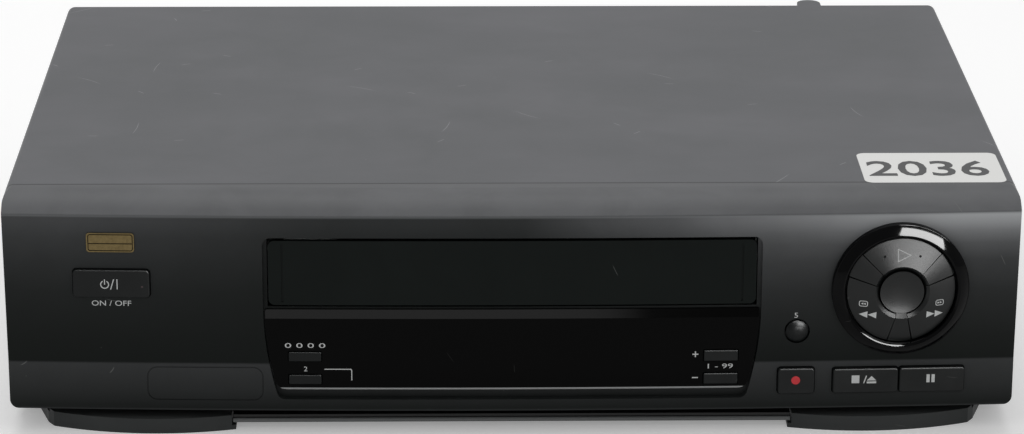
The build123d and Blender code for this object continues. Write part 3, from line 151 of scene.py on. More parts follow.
def scratch_mask(tree, place, cell_mm, length_mm, share, turn=0.6, width_mm=0.3):
    """White along one short bent stroke in a share of the cells, black elsewhere."""
    flat = flat_place(tree, place)
    cells = add(tree, "ShaderNodeTexVoronoi", {"Vector": flat, "Scale": per_mm(cell_mm)},
                voronoi_dimensions="2D")
    chance = add(tree, "ShaderNodeSeparateXYZ", {"Vector": cells.outputs["Color"]})
    offset = add(tree, "ShaderNodeVectorMath", {0: flat, 1: cells.outputs["Position"]},
                 operation="SUBTRACT")
    angle = spread(tree, chance.outputs["X"], turn - TURN_SPREAD, turn + TURN_SPREAD)
    turned = add(tree, "ShaderNodeVectorRotate", {"Vector": offset.outputs[0], "Angle": angle},
                 rotation_type="Z_AXIS")
    stroke_place = add(tree, "ShaderNodeSeparateXYZ", {"Vector": turned.outputs[0]})
    most_bend = BEND / (length_mm * MM)
    bend = spread(tree, chance.outputs["Y"], -most_bend, most_bend)
    squared = add(tree, "ShaderNodeMath", {0: stroke_place.outputs["X"], 1: 2.0}, operation="POWER")
    away = add(tree, "ShaderNodeMath", {0: squared.outputs[0], 1: bend,
                                        2: stroke_place.outputs["Y"]}, operation="MULTIPLY_ADD")
    masks = []
    for value, edge in ((away.outputs[0], width_mm / 2),
                        (stroke_place.outputs["X"], length_mm / 2)):
        size = add(tree, "ShaderNodeMath", {0: value}, operation="ABSOLUTE").outputs[0]
        masks.append(spread(tree, size, 1.0, 0.0, 0.5 * edge * MM, edge * MM))
    kept = add(tree, "ShaderNodeMath", {0: chance.outputs["Z"], 1: share}, operation="LESS_THAN")
    return product(tree, product(tree, *masks), kept.outputs[0])


print("a stroke bends by", BEND, "of its length and turns up to", TURN_SPREAD, "rad")


# %% Masks of dust and smudges, and how a mask is used
def dust_mask(tree, place, spacing_mm, radius_mm):
    """White on small scattered specks."""
    cells = add(tree, "ShaderNodeTexVoronoi", {"Vector": place, "Scale": per_mm(spacing_mm)})
    return ramp(tree, cells.outputs["Distance"], [(0.0, 1.0), (radius_mm / spacing_mm, 0.0)])


def smudge_mask(tree, place, size_mm):
    """Soft cloudy patches."""
    cloud = noise(tree, place, size_mm, detail=6.0, Roughness=0.62, Distortion=0.6)
    return ramp(tree, cloud, [(0.35, 0.0), (0.7, 1.0)])


def blend_colour(tree, mask, low, high, strength=1.0):
    """Mix two colours by a mask; each colour is a hex value or a socket."""
    node = add(tree, "ShaderNodeMix", data_type="RGBA")
    tree.links.new(product(tree, mask, strength), node.inputs[0])
    for index, colour in ((6, low), (7, high)):
        if isinstance(colour, str):
            node.inputs[index].default_value = linear(colour)
        else:
            tree.links.new(colour, node.inputs[index])
    return node.outputs[2]


def bump(tree, height, depth_mm):
    """Surface relief of depth_mm where the height map goes from 0 to 1."""
    node = add(tree, "ShaderNodeBump", {"Height": height, "Distance": depth_mm * MM})
    return node.outputs["Normal"]


print("share under specks of 0.2 mm, one every 9 mm:", round(pi * (0.2 / 9.0) ** 2, 4))

# %% [markdown]
# ## Moulded ABS
# The front is injection-moulded ABS. Its mould was spark-eroded, which leaves a fine even grain
# that turns the gloss satin. The grain of 0.3 mm is too fine for one view, so it is drawn at
# 0.6 mm. The panel also carries painted light: each face is painted paler towards its top and
# darker downwards, paler at the ends than in the middle and palest at the top right. The shoulder
# gets a painted sheen, and the crease and the bottom edge get thin painted highlights. The face's
# painted light is a ramp over the height times a ramp over the width, broken up by the smudges.

# %% Satin moulded ABS
PANEL_SIDE, _, PANEL_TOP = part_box("front_panel")[1]
# Painted light on the front panel: paler towards the top and the right, where the light falls.
# Each stop is a share of the panel's height or width, and how strong the painted light is there.
# The band's lowest stops are a thin painted highlight along the panel's bottom edge.
BAND_PAINTED_LIGHT = [(0.103, 0.2), (0.107, 0.03), (0.13, 0.07), (0.19, 0.16), (0.295, 0.28), (0.302, 0.0)]
FACE_PAINTED_LIGHT = [(0.302, 0.0), (0.396, 0.03), (0.5, 0.09), (0.605, 0.17), (0.73, 0.38), (0.834, 0.62),
             (0.905, 1.0), (0.928, 1.0), (0.932, 0.0)]
ACROSS_PAINTED_LIGHT = [(0.0, 0.44), (0.05, 0.46), (0.18, 0.35), (0.32, 0.19), (0.51, 0.19), (0.61, 0.66),
               (0.69, 0.95), (0.76, 1.0)]
TOP_PAINTED_SHEEN = [(0.73, 0.0), (0.8, 0.08), (0.853, 0.3), (0.888, 0.6), (0.925, 0.88), (0.932, 0.0)]
RIGHT_PAINTED_SHEEN = [(0.66, 0.0), (0.73, 0.2), (0.81, 0.5), (0.87, 0.85), (0.93, 1.0)]
# The band's painted light, then a painted sheen on the shoulder above the crease.
BAND_AND_SHOULDER_PAINTED_LIGHT = BAND_PAINTED_LIGHT + [(0.928, 0.0), (0.935, 1.0)]
# A thin painted highlight along the crease.
CREASE_PAINTED_HIGHLIGHT = [(0.921, 0.0), (0.928, 1.0), (0.935, 0.0)]
# Greys of the painted light, the painted sheen and the crease's painted highlight.
PAINTED_LIGHT_GREY, PAINTED_SHEEN_GREY, PAINTED_HIGHLIGHT_GREY = "#717274", "#c0c2c4", "#8d8f91"


def paint_panel_light(tree, place, smudges, base):
    """The front panel's colour with painted light, painted sheen and painted highlights."""
    split = add(tree, "ShaderNodeSeparateXYZ", {"Vector": place})
    level = spread(tree, split.outputs["Z"], 0.0, 1.0, 0.0, PANEL_TOP)
    side = spread(tree, split.outputs["X"], 0.0, 1.0, -PANEL_SIDE, PANEL_SIDE)
    face_painted_light = product(tree, ramp(tree, level, FACE_PAINTED_LIGHT), ramp(tree, side, ACROSS_PAINTED_LIGHT))
    # Painted light on the face and the band, and a painted sheen on the shoulder.
    film = add(tree, "ShaderNodeMath", {0: face_painted_light, 1: ramp(tree, level, BAND_AND_SHOULDER_PAINTED_LIGHT)},
               operation="MAXIMUM").outputs[0]
    film = product(tree, film, spread(tree, smudges, 0.84, 1.0))
    base = blend_colour(tree, film, base, PAINTED_LIGHT_GREY)
    # A brighter painted sheen towards the top and the right.
    thick = product(tree, ramp(tree, level, TOP_PAINTED_SHEEN), ramp(tree, side, RIGHT_PAINTED_SHEEN))
    base = blend_colour(tree, thick, base, PAINTED_SHEEN_GREY)
    # A thin painted highlight along the crease.
    return blend_colour(tree, ramp(tree, level, CREASE_PAINTED_HIGHLIGHT), base, PAINTED_HIGHLIGHT_GREY, 0.55)


print("panel half width and top, mm:", round(PANEL_SIDE / MM, 1), round(PANEL_TOP / MM, 1))

# %% A material for every moulded part
GRAIN_MM = 0.6
PLASTIC_IOR = 1.5


def moulded_abs(name, colour, worn, roughness, gloss, with_painted_light=False, wear=0.3, scratched=0.2):
    """Satin plastic; a share of the cells is scratched, and only the panel gets painted light."""
    material, tree, shader, place = new_material(name)
    smudges = smudge_mask(tree, place, size_mm=30.0)
    base = blend_colour(tree, smudges, colour, worn, 0.5)
    # Only the front panel gets painted light.
    if with_painted_light:
        base = paint_panel_light(tree, place, smudges, base)
    scratches = scratch_mask(tree, place, cell_mm=31.0, length_mm=4.5, share=scratched)
    specks = dust_mask(tree, place, spacing_mm=9.0, radius_mm=0.22)
    base = blend_colour(tree, scratches, base, "#8a8c8a", wear)
    base = blend_colour(tree, specks, base, "#9a9c9a", wear)
    tree.links.new(base, shader.inputs["Base Color"])
    rough = spread(tree, smudges, roughness - 0.05, roughness + 0.07)
    tree.links.new(rough, shader.inputs["Roughness"])
    grain = noise(tree, place, GRAIN_MM, detail=3.0)
    tree.links.new(bump(tree, grain, depth_mm=0.012), shader.inputs["Normal"])
    shader.inputs["IOR"].default_value = PLASTIC_IOR
    shader.inputs["Specular IOR Level"].default_value = gloss
    return material


# The front panel gets painted light on top of its dust and scratches.
panel_abs = moulded_abs("moulded ABS, front panel", "#0f1311", "#151918", 0.40, 0.10, with_painted_light=True,
                        wear=0.4, scratched=0.4)
flap_abs = moulded_abs("moulded ABS, flap", "#0a100e", "#101614", 0.34, 0.09)
button_abs = moulded_abs("moulded ABS, buttons", "#0c0f0f", "#121515", 0.34, 0.14, wear=0.15)
dial_abs = moulded_abs("moulded ABS, dial", "#060909", "#0a0d0d", 0.30, 0.26, wear=0.15)
foot_abs = moulded_abs("moulded ABS, feet", "#414343", "#494b4b", 0.45, 0.1)
inner_abs = moulded_abs("moulded ABS, inner parts", "#161616", "#202020", 0.5, 0.5, wear=0.1)
print("materials so far:", len(bpy.data.materials))

# %% [markdown]
# ## Gloss plastics
# The ring round the dial and the display lens are polished, so they mirror the lamps sharply.
# Only very faint hair scratches and dust break the gloss. The lens was cut from sheet, and its
# lower edge gets a painted highlight, a pale line.

# %% Polished plastic for the ring and the lens
def below(tree, place, axis, level, blur_mm):
    """White below a level along an axis, black above it, with a short blur between."""
    along = add(tree, "ShaderNodeSeparateXYZ", {"Vector": place}).outputs[axis]
    return spread(tree, along, 1.0, 0.0, level - blur_mm * MM, level + blur_mm * MM)


def polished_plastic(name, colour, roughness, gloss, ior=1.5, painted_highlight_top=None):
    """Mirror-like plastic; the last argument is the height up to which its lower edge gets a
    painted highlight.
    """
    material, tree, shader, place = new_material(name)
    scratches = scratch_mask(tree, place, cell_mm=30.0, length_mm=4.0, share=0.25, width_mm=0.2)
    specks = dust_mask(tree, place, spacing_mm=11.0, radius_mm=0.2)
    base = blend_colour(tree, specks, colour, "#777876", 0.5)
    base = blend_colour(tree, scratches, base, "#4a4b49", 0.3)
    # A pale line of painted highlight along the lens's lower edge.
    if painted_highlight_top:
        base = blend_colour(tree, below(tree, place, "Z", painted_highlight_top * MM, 0.1), base, "#b4b6b6")
    tree.links.new(base, shader.inputs["Base Color"])
    smears = smudge_mask(tree, place, size_mm=25.0)
    tree.links.new(spread(tree, smears, roughness, roughness + 0.05), shader.inputs["Roughness"])
    shader.inputs["IOR"].default_value = ior
    shader.inputs["Specular IOR Level"].default_value = gloss
    return material


ring_gloss = polished_plastic("polished ABS, dial ring", "#020203", 0.05, 0.08)
# The lens's lower edge gets a painted highlight up to 18.8 mm.
lens_gloss = polished_plastic("smoked acrylic, lens", "#020202", 0.06, 0.05, painted_highlight_top=18.8)
print("polished:", ring_gloss.name, "and", lens_gloss.name)

# %% [markdown]
# ## Painted steel
# The cover is folded from one sheet of steel and sprayed dark grey. Spray paint dries with a faint
# orange-peel relief about 1.5 mm across. Years of handling leave pale smears and thin bright
# scratches. A dark strip of painted shade runs along the seam to the panel, and the bead of the
# base plate gets painted light, paler than the flange above it.

# %% Sprayed steel for the cover
PEEL_MM = 1.5
SEAM_SHADE_WIDTH_MM = 1.0


def sprayed_steel(name, colour, worn, roughness, wear=0.45, seam=None, painted_light_below=None):
    """Sprayed paint; seam is the place along y of an edge next to which a strip of painted shade
    is laid, and the last argument is the height below which the paint is painted paler, as
    painted light."""
    material, tree, shader, place = new_material(name)
    wide = smudge_mask(tree, place, size_mm=120.0)
    small = smudge_mask(tree, place, size_mm=24.0)
    base = blend_colour(tree, wide, colour, worn, 0.8)
    base = blend_colour(tree, small, base, worn, 0.25)
    drawn_out = add(tree, "ShaderNodeMapping", {"Vector": place, "Scale": (0.35, 1.0, 1.0)})
    wiped = smudge_mask(tree, drawn_out.outputs[0], size_mm=70.0)
    base = blend_colour(tree, wiped, base, colour, 0.6)
    long_scratches = scratch_mask(tree, place, cell_mm=62.0, length_mm=16.0, share=0.3, turn=1.4)
    short_scratches = scratch_mask(tree, place, cell_mm=40.0, length_mm=5.0, share=0.3,
                                   turn=0.2, width_mm=0.4)
    specks = dust_mask(tree, place, spacing_mm=16.0, radius_mm=0.35)
    for mask, strength in ((long_scratches, wear), (short_scratches, wear), (specks, wear * 0.6)):
        base = blend_colour(tree, mask, base, "#c4c5c5", strength)
    # Painted shade: a dark strip along the seam to the front panel.
    if seam is not None:
        seam_shade = below(tree, place, "Y", seam + SEAM_SHADE_WIDTH_MM * MM, 0.3)
        base = blend_colour(tree, seam_shade, base, "#232425", 0.85)
    # Painted light: the bead is painted paler than the flange above it.
    if painted_light_below is not None:
        base = blend_colour(tree, below(tree, place, "Z", painted_light_below, 0.1), base, "#6a6c6c")
    tree.links.new(base, shader.inputs["Base Color"])
    rough = spread(tree, wide, roughness - 0.04, roughness + 0.08)
    tree.links.new(rough, shader.inputs["Roughness"])
    peel = noise(tree, place, PEEL_MM, detail=2.0)
    tree.links.new(bump(tree, peel, depth_mm=0.01), shader.inputs["Normal"])
    shader.inputs["IOR"].default_value = PLASTIC_IOR
    return material


COVER_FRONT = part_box("top_cover")[0][1]
PLATE_BEAD = 4.5 * MM  # the top of the bead along the base plate's front edge
# The cover gets a strip of painted shade along its seam to the front panel.
cover_paint = sprayed_steel("sprayed steel, cover", "#55575a", "#6f6f73", 0.45, seam=COVER_FRONT)
rear_paint = sprayed_steel("sprayed steel, rear", "#1d1e1f", "#262728", 0.5, 0.2)
# The base plate's bead gets painted light, paler than the flange above it.
base_paint = sprayed_steel("sprayed steel, base", "#0b0c0c", "#121313", 0.5, 0.1, painted_light_below=PLATE_BEAD)
print("the cover starts at y =", round(COVER_FRONT / MM, 1), "mm")

# %% [markdown]
# ## Bare metals
# Galvanised sheet shows zinc crystals, called spangle, a few millimetres across. Turned steel and
# aluminium show fine lines round their axis, and nickel plate is bright and smooth.
# A metal keeps the default IOR, because its colour comes from the base colour.

# %% Galvanised sheet, turned metal and plating
def galvanised(name):
    """Zinc sheet: each crystal has a tone and a roughness of its own."""
    material, tree, shader, place = new_material(name)
    crystals = add(tree, "ShaderNodeTexVoronoi", {"Vector": place, "Scale": per_mm(5.0)})
    spangle = crystals.outputs["Color"]
    tone = ramp(tree, spangle, [(0.0, "#a9acab"), (1.0, "#c9cccb")])
    tree.links.new(tone, shader.inputs["Base Color"])
    tree.links.new(spread(tree, spangle, 0.3, 0.48), shader.inputs["Roughness"])
    relief = noise(tree, place, size_mm=0.8, detail=4.0)
    tree.links.new(bump(tree, relief, depth_mm=0.01), shader.inputs["Normal"])
    shader.inputs["Metallic"].default_value = 1.0
    return material


def turned_metal(name, colour, roughness, line_mm=0.5):
    """Metal with the fine lines of turning or drawing, one above the other."""
    material, tree, shader, place = new_material(name)
    height = add(tree, "ShaderNodeSeparateXYZ", {"Vector": place}).outputs["Z"]
    lines = add(tree, "ShaderNodeTexNoise", {"W": height, "Scale": per_mm(line_mm), "Detail": 3.0},
                noise_dimensions="1D").outputs["Fac"]
    tone = blend_colour(tree, lines, colour, "#8d8f90", 0.35)
    tree.links.new(tone, shader.inputs["Base Color"])
    rough = spread(tree, lines, roughness - 0.08, roughness + 0.1)
    tree.links.new(rough, shader.inputs["Roughness"])
    shader.inputs["Metallic"].default_value = 1.0
    return material


zinc_sheet = galvanised("galvanised steel sheet")
turned_steel = turned_metal("turned steel", "#c2c4c6", 0.28)
drum_metal = turned_metal("turned aluminium, drum", "#b9bbbd", 0.32, 0.3)
sink_metal = turned_metal("extruded aluminium", "#c9cbcc", 0.35)
nickel_plate = turned_metal("nickel plate", "#cfcabf", 0.16)
bearing_bronze = turned_metal("sintered bronze", "#a9834a", 0.4)
print("materials so far:", len(bpy.data.materials))

# %% [markdown]
# ## Boards, nylon, rubber and glass
# The circuit boards are brown paper laminate, whose mask shows the tracks a little paler. The gears
# are natural nylon, the rear feet and the roller are rubber, and the display is a flat glass tube.

# %% Materials of the inner pieces
def laminate(name):
    """Brown board with a faint grid of tracks under its mask."""
    material, tree, shader, place = new_material(name)
    fibre = noise(tree, place, size_mm=1.2, detail=5.0)
    tracks = add(tree, "ShaderNodeTexBrick", {
        "Vector": place, "Scale": per_mm(14.0), "Color1": linear("#4d3a1e"),
        "Color2": linear("#57431f"), "Mortar": linear("#6b5527"), "Mortar Size": 0.03})
    tone = blend_colour(tree, fibre, tracks.outputs["Color"], "#3c2d17", 0.4)
    tree.links.new(tone, shader.inputs["Base Color"])
    tree.links.new(bump(tree, fibre, depth_mm=0.02), shader.inputs["Normal"])
    shader.inputs["Roughness"].default_value = 0.45
    return material


def plain_moulding(name, colour, shade, roughness, grain_mm=0.9):
    """A dull or glossy moulding with a cloudy colour and a fine grain."""
    material, tree, shader, place = new_material(name)
    cloud = noise(tree, place, size_mm=12.0, detail=4.0)
    tone = blend_colour(tree, cloud, colour, shade, 0.7)
    tree.links.new(tone, shader.inputs["Base Color"])
    grain = noise(tree, place, grain_mm, detail=3.0)
    tree.links.new(bump(tree, grain, depth_mm=0.015), shader.inputs["Normal"])
    shader.inputs["Roughness"].default_value = roughness
    return material


board_laminate = laminate("phenolic laminate board")
gear_nylon = plain_moulding("natural nylon, moulded", "#d9d5c8", "#cbc6b6", 0.4)
foot_rubber = plain_moulding("moulded rubber", "#161616", "#1e1e1e", 0.75, 0.6)
roller_rubber = plain_moulding("ground rubber, roller", "#1a1a1b", "#232324", 0.6, 0.4)
winding_tape = plain_moulding("varnished winding", "#4a3016", "#5b3c1c", 0.35)
sleeve_plastic = plain_moulding("shrink sleeve, capacitors", "#10162c", "#18203c", 0.3)
tube_glass = polished_plastic("display tube glass", "#11201f", 0.04, 0.5, 1.52)
print("materials so far:", len(bpy.data.materials))

# %% [markdown]
# ## Dress the frame
# Every node of the frame is shown with the material of the real piece.
# The material goes into the object's slots, so the mesh itself isn't touched.

# %% Give every node its material
finishes = {
    panel_abs: ["front_panel"],
    flap_abs: ["cassette_flap"],
    lens_gloss: ["display_window"],
    ring_gloss: ["dial_ring"],
    cover_paint: ["top_cover"],
    rear_paint: ["rear_panel", "drum_motor"],
    foot_abs: ["front_foot_left", "front_foot_right"],
    base_paint: ["bottom_plate"],
    zinc_sheet: ["deck_plate", "lift_bracket_left", "lift_bracket_right",
                 "cassette_holder", "tuner_can"],
    turned_steel: ["flap_spring", "cover_screws", "loading_motor", "capstan_rotor", "pinch_arm",
                   "tension_arm", "supply_guide", "takeup_guide", "fixed_heads"],
    drum_metal: ["lower_drum", "upper_drum"],
    sink_metal: ["heat_sink"],
    nickel_plate: ["coax_sockets"],
    bearing_bronze: ["capstan_bearing"],
    board_laminate: ["main_board", "front_board"],
    gear_nylon: ["lift_slider_left", "lift_slider_right", "lift_shaft", "loading_gear",
                 "motor_pinion"],
    foot_rubber: ["rear_feet"],
    roller_rubber: ["pinch_roller"],
    winding_tape: ["power_transformer"],
    sleeve_plastic: ["smoothing_capacitors"],
    tube_glass: ["display_tube"],
    inner_abs: ["tact_switches", "scart_sockets", "mains_inlet", "supply_reel_table",
                "takeup_reel_table"],
    dial_abs: ["dial_hub", "play_button", "rewind_button", "forward_button"],
    button_abs: ["power_button", "record_button", "stop_eject_button", "pause_button",
                 "display_button", "counter_reset_button", "record_link_button",
                 "channel_up_button", "channel_down_button"],
}
for material, nodes in finishes.items():
    for name in nodes:
        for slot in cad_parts[name].material_slots:
            slot.material = material
dressed = sum(len(nodes) for nodes in finishes.values())
print("nodes with a finish:", dressed, "of", len(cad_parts))

# %% [markdown]
# ## Finding a place on the bowed front
# The front bows out in plan like a very large cylinder. A mark printed on it is placed by its
# height and its distance from the middle, and turned to lie flat on the surface.
# The bow is worked out from the width of the cover and one bulge value.

# %% Places on the front
BULGE = 5.0  # how far the middle stands out past the two ends
SEAM = 16.0  # how deep the panel is at its ends
half_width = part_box("top_cover")[1][0] / MM
plan_radius = (half_width**2 + BULGE**2) / (2 * BULGE)
corner_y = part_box("front_panel")[1][1] / MM - SEAM


def on_front(x, z, depth=0.0):
    """A frame on the front at x and z, in millimetres: x to the right, y up, z outwards."""
    y = corner_y - BULGE + plan_radius - sqrt(plan_radius**2 - x**2)
    turn = asin(x / plan_radius)
    across = Vector((cos(turn), sin(turn), 0))
    out = Vector((sin(turn), -cos(turn), 0))
    place = Vector((x, y, z)) - depth * out
    axes = Matrix((across, Vector((0, 0, 1)), out)).transposed().to_4x4()
    return Matrix.Translation(place * MM) @ axes


print("radius of the bow, mm:", round(plan_radius, 1))


# %% [markdown]
# ## Printed marks
# Most marks are pad-printed in light grey ink, in a film of about 0.02 mm.
# Each is a flat mesh with the mark's outline, lifted a hair so that it never flickers.
# Outlines are loops in millimetres, and a round mark is worked out from its radius.

# %% The printing inks
def printing_ink(name, colour, roughness=0.45, shade="#6d6f70", gloss=0.5):
    """A thin film of ink, slightly uneven, with the shade below showing through."""
    material, tree, shader, place = new_material(name)
    cloud = noise(tree, place, size_mm=0.4, detail=2.0)
    tone = blend_colour(tree, cloud, colour, shade, 0.25)
    tree.links.new(tone, shader.inputs["Base Color"])
    shader.inputs["Roughness"].default_value = roughness
    shader.inputs["Specular IOR Level"].default_value = gloss
    return material


grey_ink = printing_ink("pad-printed ink, light grey", "#dcdedd")
lamp_tint = printing_ink("smoked lamp window, red", "#3a2224", 0.3, shade="#2a1a1c")
red_ink = printing_ink("pad-printed ink, red", "#dd2f38", shade="#b02a32")
black_ink = printing_ink("pad-printed ink, black", "#060606", shade="#0a0a0a", gloss=0.05)
label_ink = printing_ink("thermal print, dark grey", "#4a4a4b")
print("materials so far:", len(bpy.data.materials))

# %% Outlines for flat marks
def circle(radius, x=0.0, y=0.0, steps=32):
    """Points round a circle, anticlockwise."""
    angles = [2 * pi * i / steps for i in range(steps)]
    return [(x + radius * cos(angle), y + radius * sin(angle)) for angle in angles]


def bar(width, height, x=0.0, y=0.0):
    """The four corners of a bar round its middle."""
    w, h = width / 2, height / 2
    return [(x - w, y - h), (x + w, y - h), (x + w, y + h), (x - w, y + h)]


def rounded_bar(width, height, radius, x=0.0, y=0.0, steps=6):
    """A bar with round corners."""
    points = []
    for corner, (sx, sy) in enumerate(((1, -1), (1, 1), (-1, 1), (-1, -1))):
        for i in range(steps + 1):
            angle = radians(-90 + corner * 90 + 90 * i / steps)
            points.append((x + sx * (width / 2 - radius) + radius * cos(angle),
                           y + sy * (height / 2 - radius) + radius * sin(angle)))
    return points


def stroke(points, width, closed=True):
    """A line of the given width along points, as one four-cornered loop for each stretch."""
    count = len(points)
    quads = []
    for i in range(count if closed else count - 1):
        a, b = Vector(points[i]), Vector(points[(i + 1) % count])
        along = (b - a).normalized()
        side = Vector((-along.y, along.x)) * width / 2
        end = along * width / 2
        corners = (a - end - side, b + end - side, b + end + side, a - end + side)
        quads.append([tuple(corner) for corner in corners])
    return quads


print("points in a circle:", len(circle(1.0)))

# %% A printed mark from outlines
INK_LIFT = 0.03      # height of the ink over its surface
INK_FILM = 0.02      # thickness of the ink
LOOP_STEP = 0.002    # each loop of a mark lies this much higher than the one before


def place_piece(name, mesh, matrix, material, body):
    """Put a mesh in the scene as a piece that rides on a body and has the given material."""
    piece = bpy.data.objects.new(name, mesh)
    piece.matrix_world = matrix
    mesh.materials.append(material)
    bpy.context.scene.collection.objects.link(piece)
    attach(piece, body)
    return piece


def mark(name, loops, matrix, material, body, lift=INK_LIFT, relief=None):
    """A printed mark: each loop is filled and given the film's thickness, and follows a relief."""
    mesh = bpy.data.meshes.new(name)
    work = bmesh.new()
    for number, loop in enumerate(loops):
        corners = []
        for x, y in loop:
            height = lift + LOOP_STEP * number + (relief(x, y) if relief else 0.0)
            corners.append(work.verts.new((x * MM, y * MM, height * MM)))
        work.faces.new(corners).normal_update()
    bmesh.ops.solidify(work, geom=work.faces[:], thickness=-INK_FILM * MM)
    bmesh.ops.recalc_face_normals(work, faces=work.faces[:])
    work.to_mesh(mesh)
    work.free()
    return place_piece(name, mesh, matrix, material, body)


print("the ink lies", INK_LIFT, "mm over its surface")

# %% [markdown]
# ## The marks on the buttons
# Play, rewind, forward, stop, eject and pause have the signs that every tape machine has.
# They ride on their buttons, so they go in when the button is pressed.
# The dial is a shallow cone, so each mark on it follows the height of the cone.

# %% Marks on the dial's buttons
DIAL_X, DIAL_Z = 152.87, 59.75
DIAL_EDGE, DIAL_STEP = (21.7, 3.2), (10.85, 6.7)  # radius and height where the cone starts and ends
CONE_LIFT = 0.08
dial_face = on_front(DIAL_X, DIAL_Z)
print("dial's middle:", [round(v, 4) for v in dial_face.translation])


def dial_height(x, y):
    """Height of the dial's cone over the front, from its edge up to its step."""
    slope = (DIAL_STEP[1] - DIAL_EDGE[1]) / (DIAL_EDGE[0] - DIAL_STEP[0])
    return DIAL_EDGE[1] + slope * (DIAL_EDGE[0] - sqrt(x * x + y * y)) + CONE_LIFT


def triangle(width, height, x=0.0, y=0.0, way=1):
    """A triangle that points to the right, or to the left where way is -1."""
    half = way * width / 2
    return [(x - half, y - height / 2), (x + half, y), (x - half, y + height / 2)][::way]


def dial_mark(name, loops, material, body):
    """A mark that lies on the dial's cone."""
    return mark(name, loops, dial_face, material, body, relief=dial_height)


dial_mark("play_sign", stroke(triangle(5.0, 4.6, 0.5, 15.2), 0.38), grey_ink, "play_key")
dial_mark("play_dots", [circle(0.45, x, 14.6, 12) for x in (-7.2, 6.8)], black_ink, "play_key")
for side, name in ((-1, "rewind"), (1, "forward")):
    signs = [triangle(3.3, 2.9, side * x, -9.4, side) for x in (11.6, 15.0)]
    dial_mark(name + "_sign", signs, grey_ink, name + "_key")
    frame_loop = stroke(rounded_bar(3.1, 2.2, 0.7, side * 15.1, -4.7), 0.3)
    inside = [triangle(0.9, 1.0, side * x, -4.7, side) for x in (14.65, 15.6)]
    dial_mark(name + "_index_sign", frame_loop + inside, grey_ink, name + "_key")

# %% [markdown]
# The dished disc in the dial's middle gets a smooth skin, because the facets of the solid meet in a
# point there that catches the light.

# %% Skin on the dial's disc
DISC_RADIUS, DISH_HEIGHT, DISH_DEPTH = 8.67, 6.0, 1.0
DISC_INSET, SKIN_LIFT, SKIN_RINGS, SKIN_STEPS = 0.35, 0.04, 10, 64


def dish_height(radius):
    """Height of the dish over the front at a distance from its middle."""
    sphere = (DISC_RADIUS**2 + DISH_DEPTH**2) / (2 * DISH_DEPTH)
    return DISH_HEIGHT - DISH_DEPTH + sphere - sqrt(sphere**2 - radius**2) + SKIN_LIFT


skin = bmesh.new()
rings = []
for ring in range(1, SKIN_RINGS + 1):
    radius = (DISC_RADIUS - DISC_INSET) * ring / SKIN_RINGS
    rings.append([skin.verts.new((x * MM, y * MM, dish_height(radius) * MM))
                  for x, y in circle(radius, steps=SKIN_STEPS)])
skin.faces.new(rings[0])
for inner, outer in zip(rings, rings[1:]):
    for i in range(SKIN_STEPS):
        j = (i + 1) % SKIN_STEPS
        skin.faces.new((inner[i], outer[i], outer[j], inner[j]))
skin_mesh = bpy.data.meshes.new("dial_disc_skin")
for face in skin.faces:
    face.smooth = True
skin.to_mesh(skin_mesh)
skin.free()
disc_skin = place_piece("dial_disc_skin", skin_mesh, dial_face, dial_abs, "chassis")
print("disc skin:", len(skin_mesh.polygons), "faces")

# %% [markdown]
# The buttons below the dial and the power button stand out of the panel by different amounts, so
# each of their marks is placed that much further out. The power button's small dot is the dark
# window of a lamp.

# %% Marks on the row of buttons
ROW_OUT, RECORD_OUT, POWER_OUT = -2.4, -2.2, -1.6  # depths of the faces; a minus means outwards
slash = [(-0.9, -0.9), (-0.45, -0.9), (0.6, 2.3), (0.15, 2.3)]
eject_sign = [[(0.5, 0.2), (4.3, 0.2), (2.4, 2.1)], bar(3.8, 0.8, 2.4, -0.6)]
mark("stop_eject_sign", [bar(3.1, 3.3, -4.0, 0.8), slash] + eject_sign,
     on_front(140.15, 21.2, ROW_OUT), grey_ink, "stop_eject_key")
mark("pause_sign", [bar(1.3, 3.4, x, 0.7) for x in (-1.0, 1.0)],
     on_front(166.15, 21.2, ROW_OUT), grey_ink, "pause_key")
mark("record_sign", [circle(1.75, 0.0, 0.5)],
     on_front(112.35, 21.35, RECORD_OUT), red_ink, "record_key")
print("the buttons stand out by, mm:", -ROW_OUT, -RECORD_OUT, -POWER_OUT)

# %% Marks on the power button
SIGN_LINE = 0.38
power_face = on_front(-157.55, 62.6, POWER_OUT)
turns = [radians(35 + 290 * i / 20) for i in range(21)]
power_arc = [(-2.5 + 1.55 * sin(turn), -0.15 + 1.55 * cos(turn)) for turn in turns]
power_sign = stroke(power_arc, SIGN_LINE, closed=False) + [bar(SIGN_LINE, 2.2, -2.5, 0.9)]
power_line = [[(-0.4, -2.2), (0.0, -2.2), (1.3, 2.1), (0.9, 2.1)], bar(SIGN_LINE, 4.2, 2.4, 0.0)]
mark("power_sign", power_sign + power_line, power_face, grey_ink, "power_key")
mark("power_dot", [circle(0.4, 12.2, -1.0)], power_face, lamp_tint, "power_key")

# %% [markdown]
# ## Plain figures and lines on the panel and the lens
# The other controls carry plain figures only. They are set with Blender's own font, turned to
# meshes, and lie on the surface they are printed on.


def fitted(mesh, size):
    """Centre a flat mesh and stretch it to a width and a height in millimetres."""
    for axis in (0, 1):
        values = [vertex.co[axis] for vertex in mesh.vertices]
        low, high = min(values), max(values)
        for vertex in mesh.vertices:
            vertex.co[axis] = (vertex.co[axis] - (low + high) / 2) * size[axis] * MM / (high - low)


